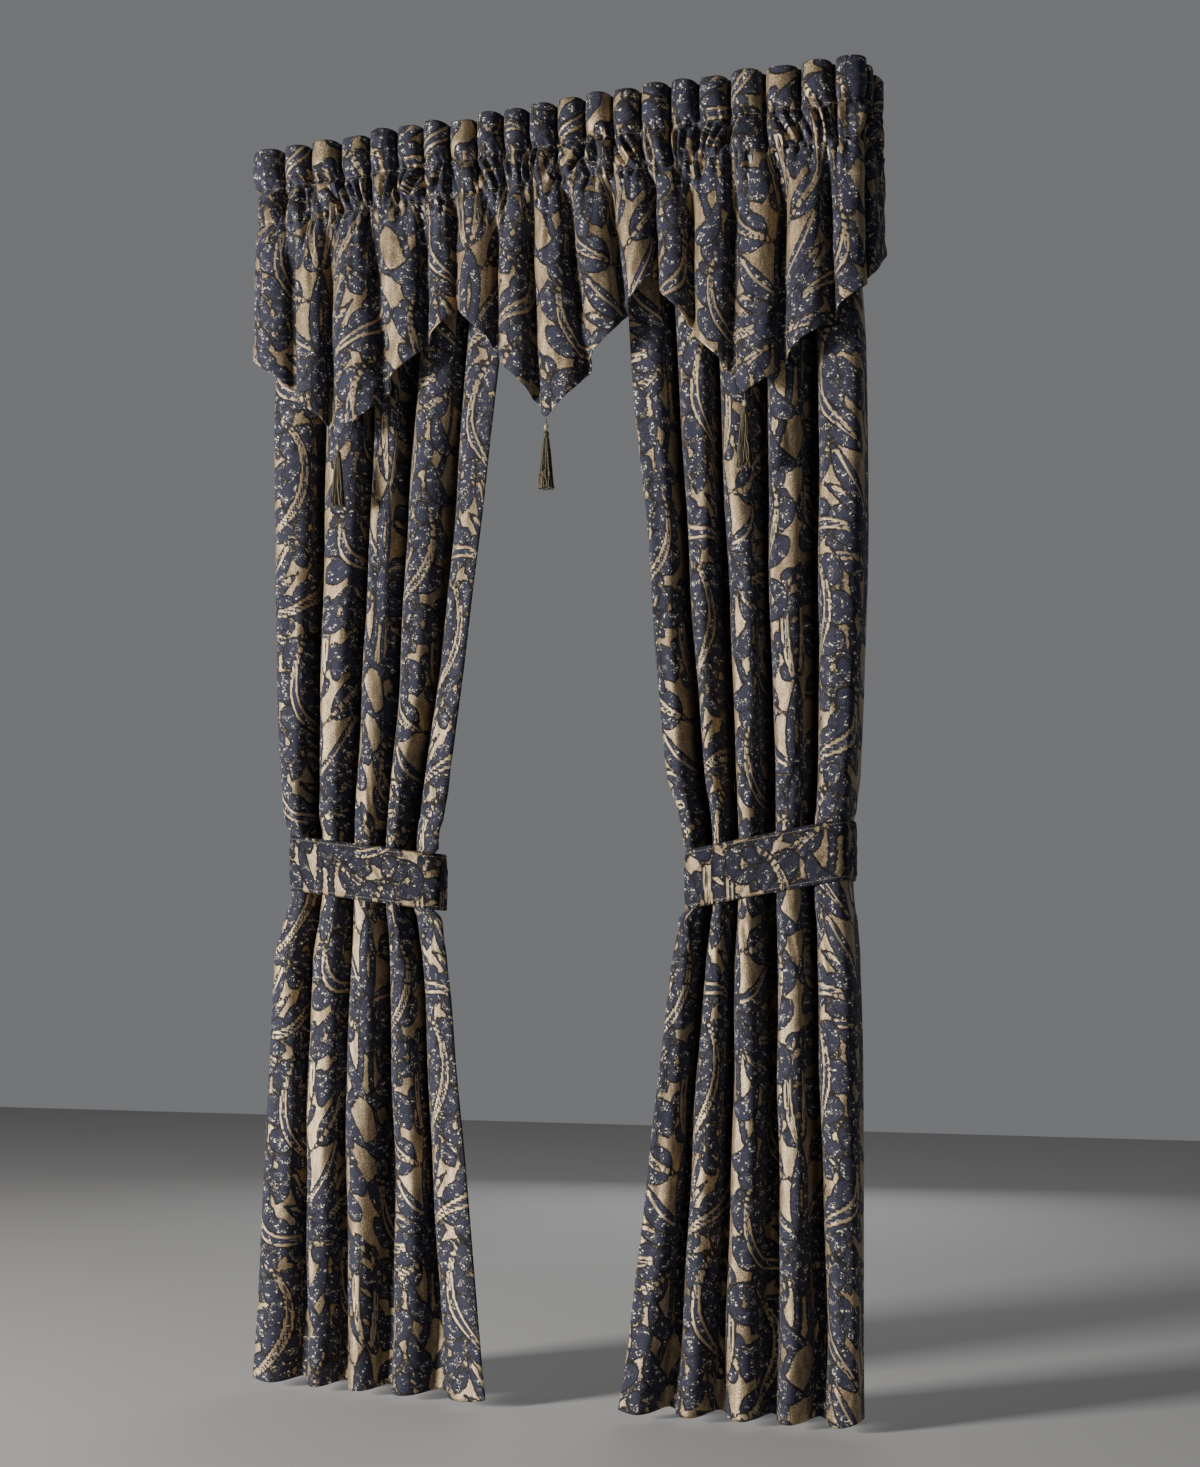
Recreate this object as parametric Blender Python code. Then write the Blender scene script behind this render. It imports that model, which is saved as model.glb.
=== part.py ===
"""A pair of curtains with a gathered, pointed valance, two tiebacks and three tassels.

Metres, +Z up. The curtains hang in front of a wall that lies towards +Y, and face -Y.
The origin is in the middle of the valance's top edge, over the line of its rod.
"""

from collections import namedtuple
from math import cos, pi, sin

import bpy
import numpy as np

# Heights, measured from the valance's top edge.
HEM_Z = -2.170
HEADER_LINE_Z = -0.064
POCKET_LINE_Z = -0.124
PANEL_TOP_Z = -0.050
PANEL_LINE_Z = -0.120
PANEL_HEM_WAVE = 0.004

# Plan of the valance: a straight front with rounded corners and a return at each end.
HALF_FRONT = 0.548
CORNER_RADIUS = 0.035
RETURN_Y = 0.105

# Cloth.
VALANCE_CLOTH = 0.0020
LINING_CLOTH = 0.0010
PANEL_CLOTH = 0.0025
POCKET_CLOTH = 0.0015
TIE_CLOTH = 0.0030
SEAM_GAP = 0.0003
LINING_GAP = 0.0008
LINING_SHORT_OF_HEM = 0.004
SHARPEST_MITRE = 0.55

# Folds of the valance.
FLUTE_DEPTH = 0.030
TROUGH_INSET = 0.008
WALL_EASE = 0.050
SKIRT_START = 0.35
FLUTE_FULLNESS = 4.0
SKIRT_FULLNESS = 2.3
VALANCE_CHANNEL = 0.018
VALANCE_POCKET_PLACES = ("return_left", "left", "middle", "right", "return_right")
VALANCE_POCKET_COLUMNS = 13
VALANCE_POCKET_EASE = 0.014
VALANCE_POCKET_PLAY = 0.0010

# Folds of the panels.
PANEL_FULLNESS = 4.0
PANEL_CHANNEL = 0.022
PANEL_POCKET_COLUMNS = 19
PANEL_POCKET_WIDTH = 0.96
PANEL_POCKET_EASE = 0.016
PANEL_POCKET_HEM = 0.002
POCKET_WAVE = 0.0015

# Tiebacks.
TIE_HEIGHT = 0.098
TIE_CLEARANCE = 0.0004
TIE_CORNER = 0.012
TIE_END_GAP = 0.0006
TIE_REAR_REACH = 0.020
TIE_TURN_SHARE = 0.62
TIE_FRONT_COLUMNS = 15
TIE_REAR_COLUMNS = 8
TIE_CORNER_COLUMNS = 4

# Tassels, hung from the valance's three points.
TASSEL_SIDES = 10
STRAND_SIDES = 3
StemRing = namedtuple("StemRing", "radius drop")
TASSEL_STEM = (
    StemRing(0.0012, 0.0000),
    StemRing(0.0012, 0.0105),
    StemRing(0.0036, 0.0130),
    StemRing(0.0036, 0.0170),
    StemRing(0.0012, 0.0195),
    StemRing(0.0014, 0.0220),
    StemRing(0.0048, 0.0250),
    StemRing(0.0048, 0.0290),
    StemRing(0.0041, 0.0315),
    StemRing(0.0041, 0.0380),
)
STRAND_ROOT = 0.0350
STRAND_BEND = 0.0520
STRAND_BEND_SHARE = 0.45
TASSEL_LENGTH = 0.1180
StrandRing = namedtuple("StrandRing", "count root_reach end_reach root_radius end_radius")
STRAND_RINGS = (
    StrandRing(12, 0.0031, 0.0130, 0.0007, 0.0012),
    StrandRing(6, 0.0014, 0.0062, 0.0005, 0.0012),
)

# Where each flute of the header and each fold of the skirt, at half its height and at the hem,
# meets its neighbour, along the front.
FLUTE_EDGES = (-0.575, -0.496, -0.442, -0.385, -0.329, -0.276, -0.226, -0.177, -0.126, -0.077, -0.030,
               0.020, 0.070, 0.119, 0.169, 0.220, 0.268, 0.321, 0.379, 0.438, 0.494, 0.548)
SKIRT_EDGES = (-0.600, -0.479, -0.407, -0.317, -0.222, -0.168, -0.090, -0.026, 0.047, 0.120, 0.191,
               0.255, 0.327, 0.410, 0.485, 0.548)
HEM_EDGES = (-0.600, -0.474, -0.404, -0.296, -0.219, -0.164, -0.088, -0.014, 0.077, 0.143, 0.199,
             0.258, 0.326, 0.410, 0.494, 0.548)
SKIRT_DEPTHS = (0.030, 0.034, 0.036, 0.034, 0.024, 0.034, 0.036, 0.034, 0.036, 0.034, 0.034, 0.028,
                0.036, 0.036, 0.030)
FLUTE_TOPS = (0.002, 0.000, 0.000, -0.001, 0.005, 0.002, 0.004, -0.004, 0.003, 0.001, 0.002,
              0.004, 0.007, 0.003, 0.005, 0.005, -0.001, 0.003, 0.000, 0.000, -0.002)
RETURN_FLUTES = 2
RETURN_FLUTE_DEPTH = 0.008
RETURN_DEPTH = 0.016
FLUTE_STEPS = (0.0, 0.13, 0.37, 0.63, 0.87)
SKIRT_STEPS = (0.0, 0.12, 0.28, 0.42, 0.58, 0.72, 0.88)
RETURN_STEPS = tuple(n / 10 for n in range(10))

# The pointed hem, cut straight from point to point: distance along the front and round the
# corner, and height.
HemPoint = namedtuple("HemPoint", "along height")
HEM = (
    HemPoint(-0.640, -0.270),
    HemPoint(-0.552, -0.350),
    HemPoint(-0.379, -0.522),
    HemPoint(-0.157, -0.310),
    HemPoint(0.009, -0.524),
    HemPoint(0.193, -0.302),
    HemPoint(0.353, -0.519),
    HemPoint(0.552, -0.345),
    HemPoint(0.640, -0.270),
)
TIPS = {"left": 2, "centre": 4, "right": 6}

# Rows of the valance from the top edge down: drop is the share of the way from the pocket's
# lower line to the hem, flute and skirt are how deep the header's and the skirt's folds run there.
ValanceRow = namedtuple("ValanceRow", "height drop flute skirt")
VALANCE_ROWS = (
    ValanceRow(0.000, 0.00, 1.00, 0.00),
    ValanceRow(-0.034, 0.00, 1.00, 0.00),
    ValanceRow(-0.056, 0.00, 0.80, 0.00),
    ValanceRow(HEADER_LINE_Z, 0.00, 0.26, 0.00),
    ValanceRow(-0.075, 0.00, 0.62, 0.00),
    ValanceRow(-0.113, 0.00, 0.60, 0.00),
    ValanceRow(POCKET_LINE_Z, 0.00, 0.26, 0.10),
    ValanceRow(POCKET_LINE_Z, 0.10, 0.30, 0.50),
    ValanceRow(POCKET_LINE_Z, 0.35, 0.00, 0.90),
    ValanceRow(POCKET_LINE_Z, 0.70, 0.00, 1.00),
    ValanceRow(POCKET_LINE_Z, 1.00, 0.00, 1.08),
)
HEADER_ROW = 3
POCKET_ROW = 6
LINING_FIRST_ROW = 7

# Cross-sections of the panels: edge is where the panel or a fold ends, from the wall side to the
# window side; front is the y of the fold fronts, depth how far the folds run back, crown how far
# the middle of the bundle stands forward, swing how far the window side stands forward.
PanelRow = namedtuple("PanelRow", "height edges front depth crown swing")
LEFT_ROWS = (
    PanelRow(PANEL_TOP_Z, (-0.506, -0.415, -0.325, -0.234, -0.144, -0.053), 0.0325, 0.030, 0.000, 0.000),
    PanelRow(PANEL_LINE_Z, (-0.508, -0.418, -0.328, -0.238, -0.149, -0.058), 0.0325, 0.030, 0.000, 0.000),
    PanelRow(-0.260, (-0.531, -0.439, -0.345, -0.261, -0.164, -0.075), 0.033, 0.042, 0.000, 0.000),
    PanelRow(-0.450, (-0.544, -0.453, -0.354, -0.280, -0.184, -0.099), 0.032, 0.050, 0.000, 0.000),
    PanelRow(-0.700, (-0.542, -0.460, -0.364, -0.292, -0.207, -0.132), 0.030, 0.058, 0.002, 0.000),
    PanelRow(-0.950, (-0.537, -0.464, -0.376, -0.304, -0.233, -0.167), 0.028, 0.064, 0.004, 0.000),
    PanelRow(-1.120, (-0.524, -0.465, -0.386, -0.316, -0.260, -0.191), 0.025, 0.066, 0.006, 0.000),
    PanelRow(-1.183, (-0.516, -0.462, -0.386, -0.319, -0.267, -0.202), 0.022, 0.066, 0.008, 0.000),
    PanelRow(-1.198, (-0.500, -0.454, -0.386, -0.322, -0.273, -0.214), 0.022, 0.066, 0.008, 0.000),
    PanelRow(-1.346, (-0.500, -0.454, -0.386, -0.322, -0.273, -0.214), 0.022, 0.066, 0.008, 0.000),
    PanelRow(-1.361, (-0.518, -0.463, -0.387, -0.319, -0.266, -0.203), 0.022, 0.066, 0.008, 0.000),
    PanelRow(-1.430, (-0.536, -0.474, -0.392, -0.318, -0.257, -0.194), 0.021, 0.064, 0.004, 0.003),
    PanelRow(-1.600, (-0.546, -0.477, -0.397, -0.314, -0.243, -0.164), 0.016, 0.060, 0.002, 0.010),
    PanelRow(-1.850, (-0.555, -0.476, -0.399, -0.309, -0.224, -0.128), 0.009, 0.054, 0.000, 0.020),
    PanelRow(-2.030, (-0.562, -0.477, -0.397, -0.307, -0.213, -0.107), 0.004, 0.050, 0.000, 0.028),
    PanelRow(HEM_Z, (-0.570, -0.479, -0.396, -0.305, -0.204, -0.087), 0.000, 0.046, 0.000, 0.036),
)
RIGHT_ROWS = (
    PanelRow(PANEL_TOP_Z, (0.497, 0.419, 0.340, 0.261, 0.182, 0.102), 0.0325, 0.030, 0.000, 0.000),
    PanelRow(PANEL_LINE_Z, (0.499, 0.421, 0.343, 0.266, 0.188, 0.109), 0.0325, 0.030, 0.000, 0.000),
    PanelRow(-0.260, (0.516, 0.433, 0.352, 0.276, 0.200, 0.124), 0.033, 0.042, 0.000, 0.000),
    PanelRow(-0.450, (0.528, 0.441, 0.357, 0.281, 0.207, 0.133), 0.032, 0.050, 0.000, 0.000),
    PanelRow(-0.700, (0.530, 0.444, 0.363, 0.289, 0.223, 0.163), 0.030, 0.058, 0.002, 0.000),
    PanelRow(-0.950, (0.525, 0.446, 0.369, 0.299, 0.241, 0.186), 0.028, 0.064, 0.004, 0.000),
    PanelRow(-1.120, (0.517, 0.446, 0.373, 0.309, 0.255, 0.206), 0.025, 0.066, 0.006, 0.000),
    PanelRow(-1.183, (0.513, 0.446, 0.374, 0.313, 0.264, 0.226), 0.022, 0.066, 0.008, 0.000),
    PanelRow(-1.198, (0.505, 0.443, 0.374, 0.315, 0.270, 0.238), 0.022, 0.066, 0.008, 0.000),
    PanelRow(-1.346, (0.505, 0.443, 0.374, 0.315, 0.270, 0.238), 0.022, 0.066, 0.008, 0.000),
    PanelRow(-1.361, (0.513, 0.446, 0.374, 0.313, 0.264, 0.228), 0.022, 0.066, 0.008, 0.000),
    PanelRow(-1.430, (0.517, 0.448, 0.376, 0.311, 0.261, 0.215), 0.021, 0.064, 0.004, 0.002),
    PanelRow(-1.600, (0.524, 0.453, 0.379, 0.309, 0.248, 0.193), 0.016, 0.060, 0.002, 0.006),
    PanelRow(-1.850, (0.528, 0.457, 0.381, 0.303, 0.232, 0.166), 0.009, 0.054, 0.000, 0.013),
    PanelRow(-2.030, (0.530, 0.460, 0.382, 0.298, 0.220, 0.146), 0.004, 0.050, 0.000, 0.018),
    PanelRow(HEM_Z, (0.533, 0.462, 0.383, 0.295, 0.210, 0.130), 0.000, 0.046, 0.000, 0.024),
)
FOLD_STEPS = (0.0, 0.05, 0.14, 0.30, 0.50, 0.70, 0.86, 0.95)
LAST_FOLD_STEPS = (0.0, 0.05, 0.14, 0.30, 0.50, 0.70, 0.84, 0.92)

# Middle height of each tieback at the wall side and at the window side.
TIE_HEIGHTS = {"left": (-1.2515, -1.2900), "right": (-1.2495, -1.2945)}
TIE_ROW = 8

# Colour, roughness and metallic value of each finish.
Finish = namedtuple("Finish", "colour roughness metallic")
FINISHES = {
    "damask": Finish((0.150, 0.130, 0.120), 0.62, 0.15),
    "lining": Finish((0.640, 0.630, 0.620), 0.85, 0.0),
    "pocket_cloth": Finish((0.120, 0.105, 0.100), 0.70, 0.10),
    "tassel_yarn": Finish((0.110, 0.095, 0.060), 0.55, 0.10),
}


def clear_scene():
    for obj in list(bpy.data.objects):
        bpy.data.objects.remove(obj, do_unlink=True)


def finish_material(name):
    """The Principled material of one finish."""
    if name in bpy.data.materials:
        return bpy.data.materials[name]
    look = FINISHES[name]
    material = bpy.data.materials.new(name)
    material.use_nodes = True
    shader = material.node_tree.nodes["Principled BSDF"]
    shader.inputs["Base Color"].default_value = (*look.colour, 1.0)
    shader.inputs["Roughness"].default_value = look.roughness
    shader.inputs["Metallic"].default_value = look.metallic
    return material


def add_object(name, points, faces, finish):
    """One named object from points and faces, smooth, with its finish."""
    mesh = bpy.data.meshes.new(name)
    mesh.from_pydata([tuple(p) for p in points], [], faces)
    mesh.validate()
    mesh.materials.append(finish_material(finish))
    obj = bpy.data.objects.new(name, mesh)
    bpy.context.collection.objects.link(obj)
    mesh.shade_smooth()
    mesh.set_sharp_from_angle(angle=pi / 3)
    return obj


def thickened(line, distance):
    """A plan line moved sideways by a distance, to the left of its direction, corners mitred."""
    steps = np.diff(line, axis=0)
    steps /= np.linalg.norm(steps, axis=1)[:, None]
    sides = np.stack([-steps[:, 1], steps[:, 0]], axis=1)
    before = np.vstack([sides[:1], sides])
    after = np.vstack([sides, sides[-1:]])
    normals = before + after
    normals /= np.linalg.norm(normals, axis=1)[:, None]
    mitre = np.maximum((normals * after).sum(axis=1), SHARPEST_MITRE)
    return line + normals * (distance / mitre)[:, None]


def sheet(name, fronts, heights, thickness, finish):
    """A closed sheet of cloth. fronts holds a plan line for each row, from the top down, and
    heights the z of its points; the cloth lies to the left of the lines' direction."""
    face = np.array([np.column_stack([line, z]) for line, z in zip(fronts, heights)])
    back = np.array([np.column_stack([thickened(line, thickness), z]) for line, z in zip(fronts, heights)])
    rows, columns = face.shape[:2]
    points = np.vstack([face.reshape(-1, 3), back.reshape(-1, 3)])
    behind = rows * columns
    faces = []
    for r in range(rows - 1):
        for c in range(columns - 1):
            a = r * columns + c
            b, d, e = a + 1, a + columns, a + columns + 1
            faces += [(a, d, e), (a, e, b)]
            faces += [(a + behind, e + behind, d + behind), (a + behind, b + behind, e + behind)]
    rim = [c for c in range(columns)]
    rim += [r * columns + columns - 1 for r in range(1, rows)]
    rim += [(rows - 1) * columns + c for c in range(columns - 2, -1, -1)]
    rim += [r * columns for r in range(rows - 2, 0, -1)]
    for a, b in zip(rim, rim[1:] + rim[:1]):
        faces += [(a, b, b + behind), (a, b + behind, a + behind)]
    return add_object(name, points, faces, finish)


def fold(share, fullness):
    """How far forward a fold stands at a share of its width: 0 where folds meet, 1 in its middle."""
    return 1.0 - np.abs(2.0 * share - 1.0) ** fullness


def plan_path(along):
    """Points and outward directions on the valance's plan line, at distances along it from the middle."""
    straight = HALF_FRONT - CORNER_RADIUS
    bend = CORNER_RADIUS * pi / 2
    side = np.sign(along)
    past = np.abs(along) - straight
    angle = np.clip(past / CORNER_RADIUS, 0.0, pi / 2)
    back = np.maximum(past - bend, 0.0)
    x = np.minimum(np.abs(along), straight) + CORNER_RADIUS * np.sin(angle)
    y = CORNER_RADIUS * (1.0 - np.cos(angle)) + back
    points = np.column_stack([side * x, y])
    outward = np.column_stack([side * np.sin(angle), -np.cos(angle)])
    return points, outward


def path_end():
    """The valance's length from its middle to its end at the wall."""
    return HALF_FRONT - CORNER_RADIUS + CORNER_RADIUS * pi / 2 + RETURN_Y - CORNER_RADIUS


def fold_columns(edges, depths, steps, fullness):
    """Where the columns of a run of folds stand along the path, and how far forward each is."""
    along, forward = [], []
    for left, right, depth in zip(edges, edges[1:], depths):
        share = np.array(steps)
        along += list(left + (right - left) * share)
        forward += list(depth * fold(share, fullness))
    return along, forward


def valance_columns():
    """The valance's columns in its header, in its skirt and at its hem: distance along the path
    and fold depth of each. A column stands on each point of the hem."""
    end = path_end()
    left_return = tuple(np.linspace(-end, FLUTE_EDGES[0], RETURN_FLUTES + 1)[:-1])
    right_return = tuple(np.linspace(FLUTE_EDGES[-1], end, RETURN_FLUTES + 1)[1:])
    edges = left_return + FLUTE_EDGES + right_return
    beside = (RETURN_FLUTE_DEPTH,) * RETURN_FLUTES
    depths = beside + (FLUTE_DEPTH,) * (len(FLUTE_EDGES) - 1) + beside
    header_along, header_forward = fold_columns(edges, depths, FLUTE_STEPS, FLUTE_FULLNESS)
    header = np.array(header_along + [end]), np.array(header_forward + [0.0])
    skirts = []
    for edges in (SKIRT_EDGES, HEM_EDGES):
        left = fold_columns((-end, edges[0]), (RETURN_DEPTH,), RETURN_STEPS, SKIRT_FULLNESS)
        front = fold_columns(edges, SKIRT_DEPTHS, SKIRT_STEPS, SKIRT_FULLNESS)
        right = fold_columns((edges[-1], end), (RETURN_DEPTH,), RETURN_STEPS, SKIRT_FULLNESS)
        skirts.append(np.array(left[0] + front[0] + right[0] + [end]))
    skirt_forward = np.array(left[1] + front[1] + right[1] + [0.0])
    hem_along = skirts[1]
    for point in HEM[1:-1]:
        hem_along[np.argmin(np.abs(hem_along - point.along))] = point.along
    return header, (skirts[0], hem_along), skirt_forward


def hem_heights(line, along):
    """Height of the hem's columns: between its points the cut edge is straight in the flat cloth."""
    steps = np.linalg.norm(np.diff(line, axis=0), axis=1)
    length = np.concatenate([[0.0], np.cumsum(steps)])
    at_points = np.interp([p.along for p in HEM], along, length)
    return np.interp(length, at_points, [p.height for p in HEM])


def flute_tops(along):
    """How far each column of the top edge stands above the mean, flute by flute."""
    middles = [(left + right) / 2 for left, right in zip(FLUTE_EDGES, FLUTE_EDGES[1:])]
    return np.interp(along, middles, FLUTE_TOPS)


def valance_lines():
    """Plan line and heights of each row of the valance's front face."""
    (header_along, header_forward), (skirt_along, hem_along), skirt_forward = valance_columns()
    tops = flute_tops(header_along)
    lines = []
    for row in VALANCE_ROWS:
        blend = min(1.0, row.drop / SKIRT_START)
        lower = max(0.0, (row.drop - SKIRT_START) / (1.0 - SKIRT_START))
        below = skirt_along * (1.0 - lower) + hem_along * lower
        along = header_along * (1.0 - blend) + below * blend
        points, outward = plan_path(along)
        inset = TROUGH_INSET * np.clip((path_end() - np.abs(along)) / WALL_EASE, 0.0, 1.0)
        forward = header_forward * row.flute + skirt_forward * row.skirt - inset
        lines.append(points + outward * forward[:, None])
    hem = hem_heights(lines[-1], hem_along)
    heights = []
    for row in VALANCE_ROWS:
        raised = tops * max(0.0, 1.0 - row.height / HEADER_LINE_Z)
        heights.append(row.height + raised + (hem - row.height) * row.drop)
    return lines, heights


def make_valance():
    lines, heights = valance_lines()
    sheet("valance", lines, heights, VALANCE_CLOTH, "damask")


def make_valance_lining():
    """The pale lining behind the skirt, from the pocket to just short of the hem."""
    lines, heights = valance_lines()
    up = LINING_SHORT_OF_HEM / (heights[-2] - heights[-1])
    lines[-1] = lines[-1] + (lines[-2] - lines[-1]) * up[:, None]
    heights[-1] = heights[-1] + LINING_SHORT_OF_HEM
    lines = [thickened(line, VALANCE_CLOTH + LINING_GAP) for line in lines[LINING_FIRST_ROW:]]
    sheet("valance_lining", lines, heights[LINING_FIRST_ROW:], LINING_CLOTH, "lining")


def seam_inset():
    """How far the valance's back reaches in from the plan line at the two lines that are sewn."""
    lines, heights = valance_lines()
    points, outward = plan_path(valance_columns()[0][0])
    backs = [thickened(lines[row], VALANCE_CLOTH) for row in (HEADER_ROW, POCKET_ROW)]
    return max(((points - back) * outward).sum(axis=1).max() for back in backs)


def make_valance_pocket():
    """The turned-back layer of the valance that forms the channel for its rod, in five lengths:
    three along the front and one round each return."""
    seam = seam_inset() + SEAM_GAP
    straight = HALF_FRONT - CORNER_RADIUS
    ends = (-path_end(), -straight, -straight / 3, straight / 3, straight, path_end())
    rows = ((HEADER_LINE_Z, 0.0), (HEADER_LINE_Z - VALANCE_POCKET_EASE, 1.0),
            (POCKET_LINE_Z + VALANCE_POCKET_EASE, 1.0), (POCKET_LINE_Z, 0.0))
    heights = [np.full(VALANCE_POCKET_COLUMNS, height) for height, open_ in rows]
    half_play = VALANCE_POCKET_PLAY / 2
    for place, start, end in zip(VALANCE_POCKET_PLACES, ends, ends[1:]):
        points, outward = plan_path(np.linspace(start + half_play, end - half_play, VALANCE_POCKET_COLUMNS))
        wave = 0.0 if "return" in place else POCKET_WAVE * np.cos(pi * np.arange(VALANCE_POCKET_COLUMNS))
        channel = np.full(VALANCE_POCKET_COLUMNS, VALANCE_CHANNEL) - wave
        lines = [points - outward * (seam + channel * open_)[:, None] for height, open_ in rows]
        sheet("valance_pocket_" + place, lines, heights, POCKET_CLOTH, "pocket_cloth")


def panel_line(row):
    """Plan line of one cross-section of a panel, from its wall side to its window side."""
    points = []
    last = len(row.edges) - 2
    start, end = row.edges[0], row.edges[-1]
    for n, (left, right) in enumerate(zip(row.edges, row.edges[1:])):
        for share in LAST_FOLD_STEPS if n == last else FOLD_STEPS:
            x = left + (right - left) * share
            across = (x - start) / (end - start)
            forward = row.crown * sin(pi * across) + row.swing * across
            points.append((x, row.front - forward + row.depth * (1.0 - fold(share, PANEL_FULLNESS))))
    return np.array(points)


def panel_heights(row):
    """Height of each point of a panel's cross-section: the hem rises a little between the folds."""
    steps = FOLD_STEPS * (len(row.edges) - 2) + LAST_FOLD_STEPS
    wave = PANEL_HEM_WAVE if row.height == HEM_Z else 0.0
    return row.height + wave * (1.0 - fold(np.array(steps), PANEL_FULLNESS))


def make_panel(side, rows):
    """One curtain panel. The right one's lines are turned round, so that both run from left to right."""
    lines = [panel_line(row) for row in rows]
    heights = [panel_heights(row) for row in rows]
    if side == "right":
        lines = [line[::-1] for line in lines]
        heights = [z[::-1] for z in heights]
    sheet("panel_" + side, lines, heights, PANEL_CLOTH, "damask")


def make_panel_pocket(side, rows):
    """The turned-back layer at the top of a panel that forms the channel for its rod."""
    left, right = sorted((rows[1].edges[0], rows[1].edges[-1]))
    half = (right - left) / 2 * PANEL_POCKET_WIDTH
    x = (left + right) / 2 + np.linspace(-half, half, PANEL_POCKET_COLUMNS)
    thickness = PANEL_CLOTH if side == "left" else -PANEL_CLOTH
    backs = [thickened(panel_line(row), thickness) for row in rows[:2]]
    seam = max(back[:, 1].max() for back in backs) + SEAM_GAP
    wave = POCKET_WAVE * np.cos(pi * np.arange(PANEL_POCKET_COLUMNS))
    top, bottom = PANEL_TOP_Z - PANEL_POCKET_HEM, PANEL_LINE_Z + PANEL_POCKET_HEM
    levels = ((top, 0.0), (top - PANEL_POCKET_EASE, 1.0), (bottom + PANEL_POCKET_EASE, 1.0), (bottom, 0.0))
    lines = [np.column_stack([x, seam + (PANEL_CHANNEL + wave) * open_]) for height, open_ in levels]
    heights = [np.full(PANEL_POCKET_COLUMNS, height) for height, open_ in levels]
    sheet("panel_pocket_" + side, lines, heights, POCKET_CLOTH, "pocket_cloth")


def arc(centre, radius, start, end, count):
    """Points on an arc in plan, angles in radians from +X."""
    angles = np.linspace(start, end, count)
    return np.column_stack([centre[0] + radius * np.cos(angles), centre[1] + radius * np.sin(angles)])


def tie_line(row):
    """Plan line of a tieback round its panel: from the wall side, across the front, and back behind."""
    outer, inner = row.edges[0], row.edges[-1]
    side = 1.0 if inner > outer else -1.0
    reach = TIE_CLEARANCE + TIE_CORNER
    x0, x1 = outer - side * TIE_CLEARANCE, inner + side * TIE_CLEARANCE
    back = thickened(panel_line(row), side * PANEL_CLOTH)[:, 1].max() + TIE_CLEARANCE
    y0 = row.front - TIE_CLEARANCE
    across = np.linspace(x0 + side * TIE_CORNER, x1 - side * TIE_CORNER, TIE_FRONT_COLUMNS)
    front = np.column_stack([across, y0 - row.crown * np.sin(pi * (across - outer) / (inner - outer))])
    wall, room, down, up = (pi, 2.0 * pi, 1.5 * pi, 0.5 * pi) if side > 0 else (0.0, -pi, -0.5 * pi, 0.5 * pi)
    corner_y = y0 + TIE_CORNER
    outer_arc = arc((x0 + side * TIE_CORNER, corner_y), TIE_CORNER, wall, down, TIE_CORNER_COLUMNS)[:-1]
    inner_arc = arc((x1 - side * TIE_CORNER, corner_y), TIE_CORNER, down, room, TIE_CORNER_COLUMNS)[1:]
    turn = np.array([[x1, row.front + row.depth * TIE_TURN_SHARE]])
    rear_x = row.edges[-2] + side * TIE_REAR_REACH
    rear_from = 0.0 if side > 0 else pi
    rear_arc = arc((rear_x - side * reach, back - reach), reach, rear_from, up, TIE_CORNER_COLUMNS)
    wall_end = np.array([[x0, back + TIE_CLOTH], [x0, (back + y0) / 2]])
    rear_run = np.linspace(rear_x - side * 2 * reach, x0 + side * TIE_END_GAP, TIE_REAR_COLUMNS)
    rear = np.column_stack([rear_run, np.full(TIE_REAR_COLUMNS, back)])
    return np.vstack([wall_end, outer_arc, front, inner_arc, turn, rear_arc, rear])


def make_tieback(side, rows):
    """A flat band of the same cloth round a panel, higher at the wall, where its ends meet."""
    row = rows[TIE_ROW]
    line = tie_line(row)
    outer_z, inner_z = TIE_HEIGHTS[side]
    share = (line[:, 0] - row.edges[0]) / (row.edges[-1] - row.edges[0])
    middle = outer_z + (inner_z - outer_z) * share
    if side == "right":
        line, middle = line[::-1], middle[::-1]
    line = thickened(line, -TIE_CLOTH)
    heights = [middle + TIE_HEIGHT * level for level in (0.5, 0.0, -0.5)]
    sheet("tieback_" + side, [line] * 3, heights, TIE_CLOTH, "damask")


def ring(centre, radius, sides):
    """Points of a level ring round a centre."""
    angles = 2.0 * pi * np.arange(sides) / sides
    return [(centre[0] + radius * cos(a), centre[1] + radius * sin(a), centre[2]) for a in angles]


def tube(rings, sides, first):
    """Faces of a closed tube through rings of points, the first point numbered first."""
    last = first + (rings - 1) * sides
    faces = [tuple(range(first, first + sides)), tuple(reversed(range(last, last + sides)))]
    for level in range(first, last, sides):
        for n in range(sides):
            m = (n + 1) % sides
            faces.append((level + n, level + sides + n, level + sides + m, level + m))
    return faces


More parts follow.
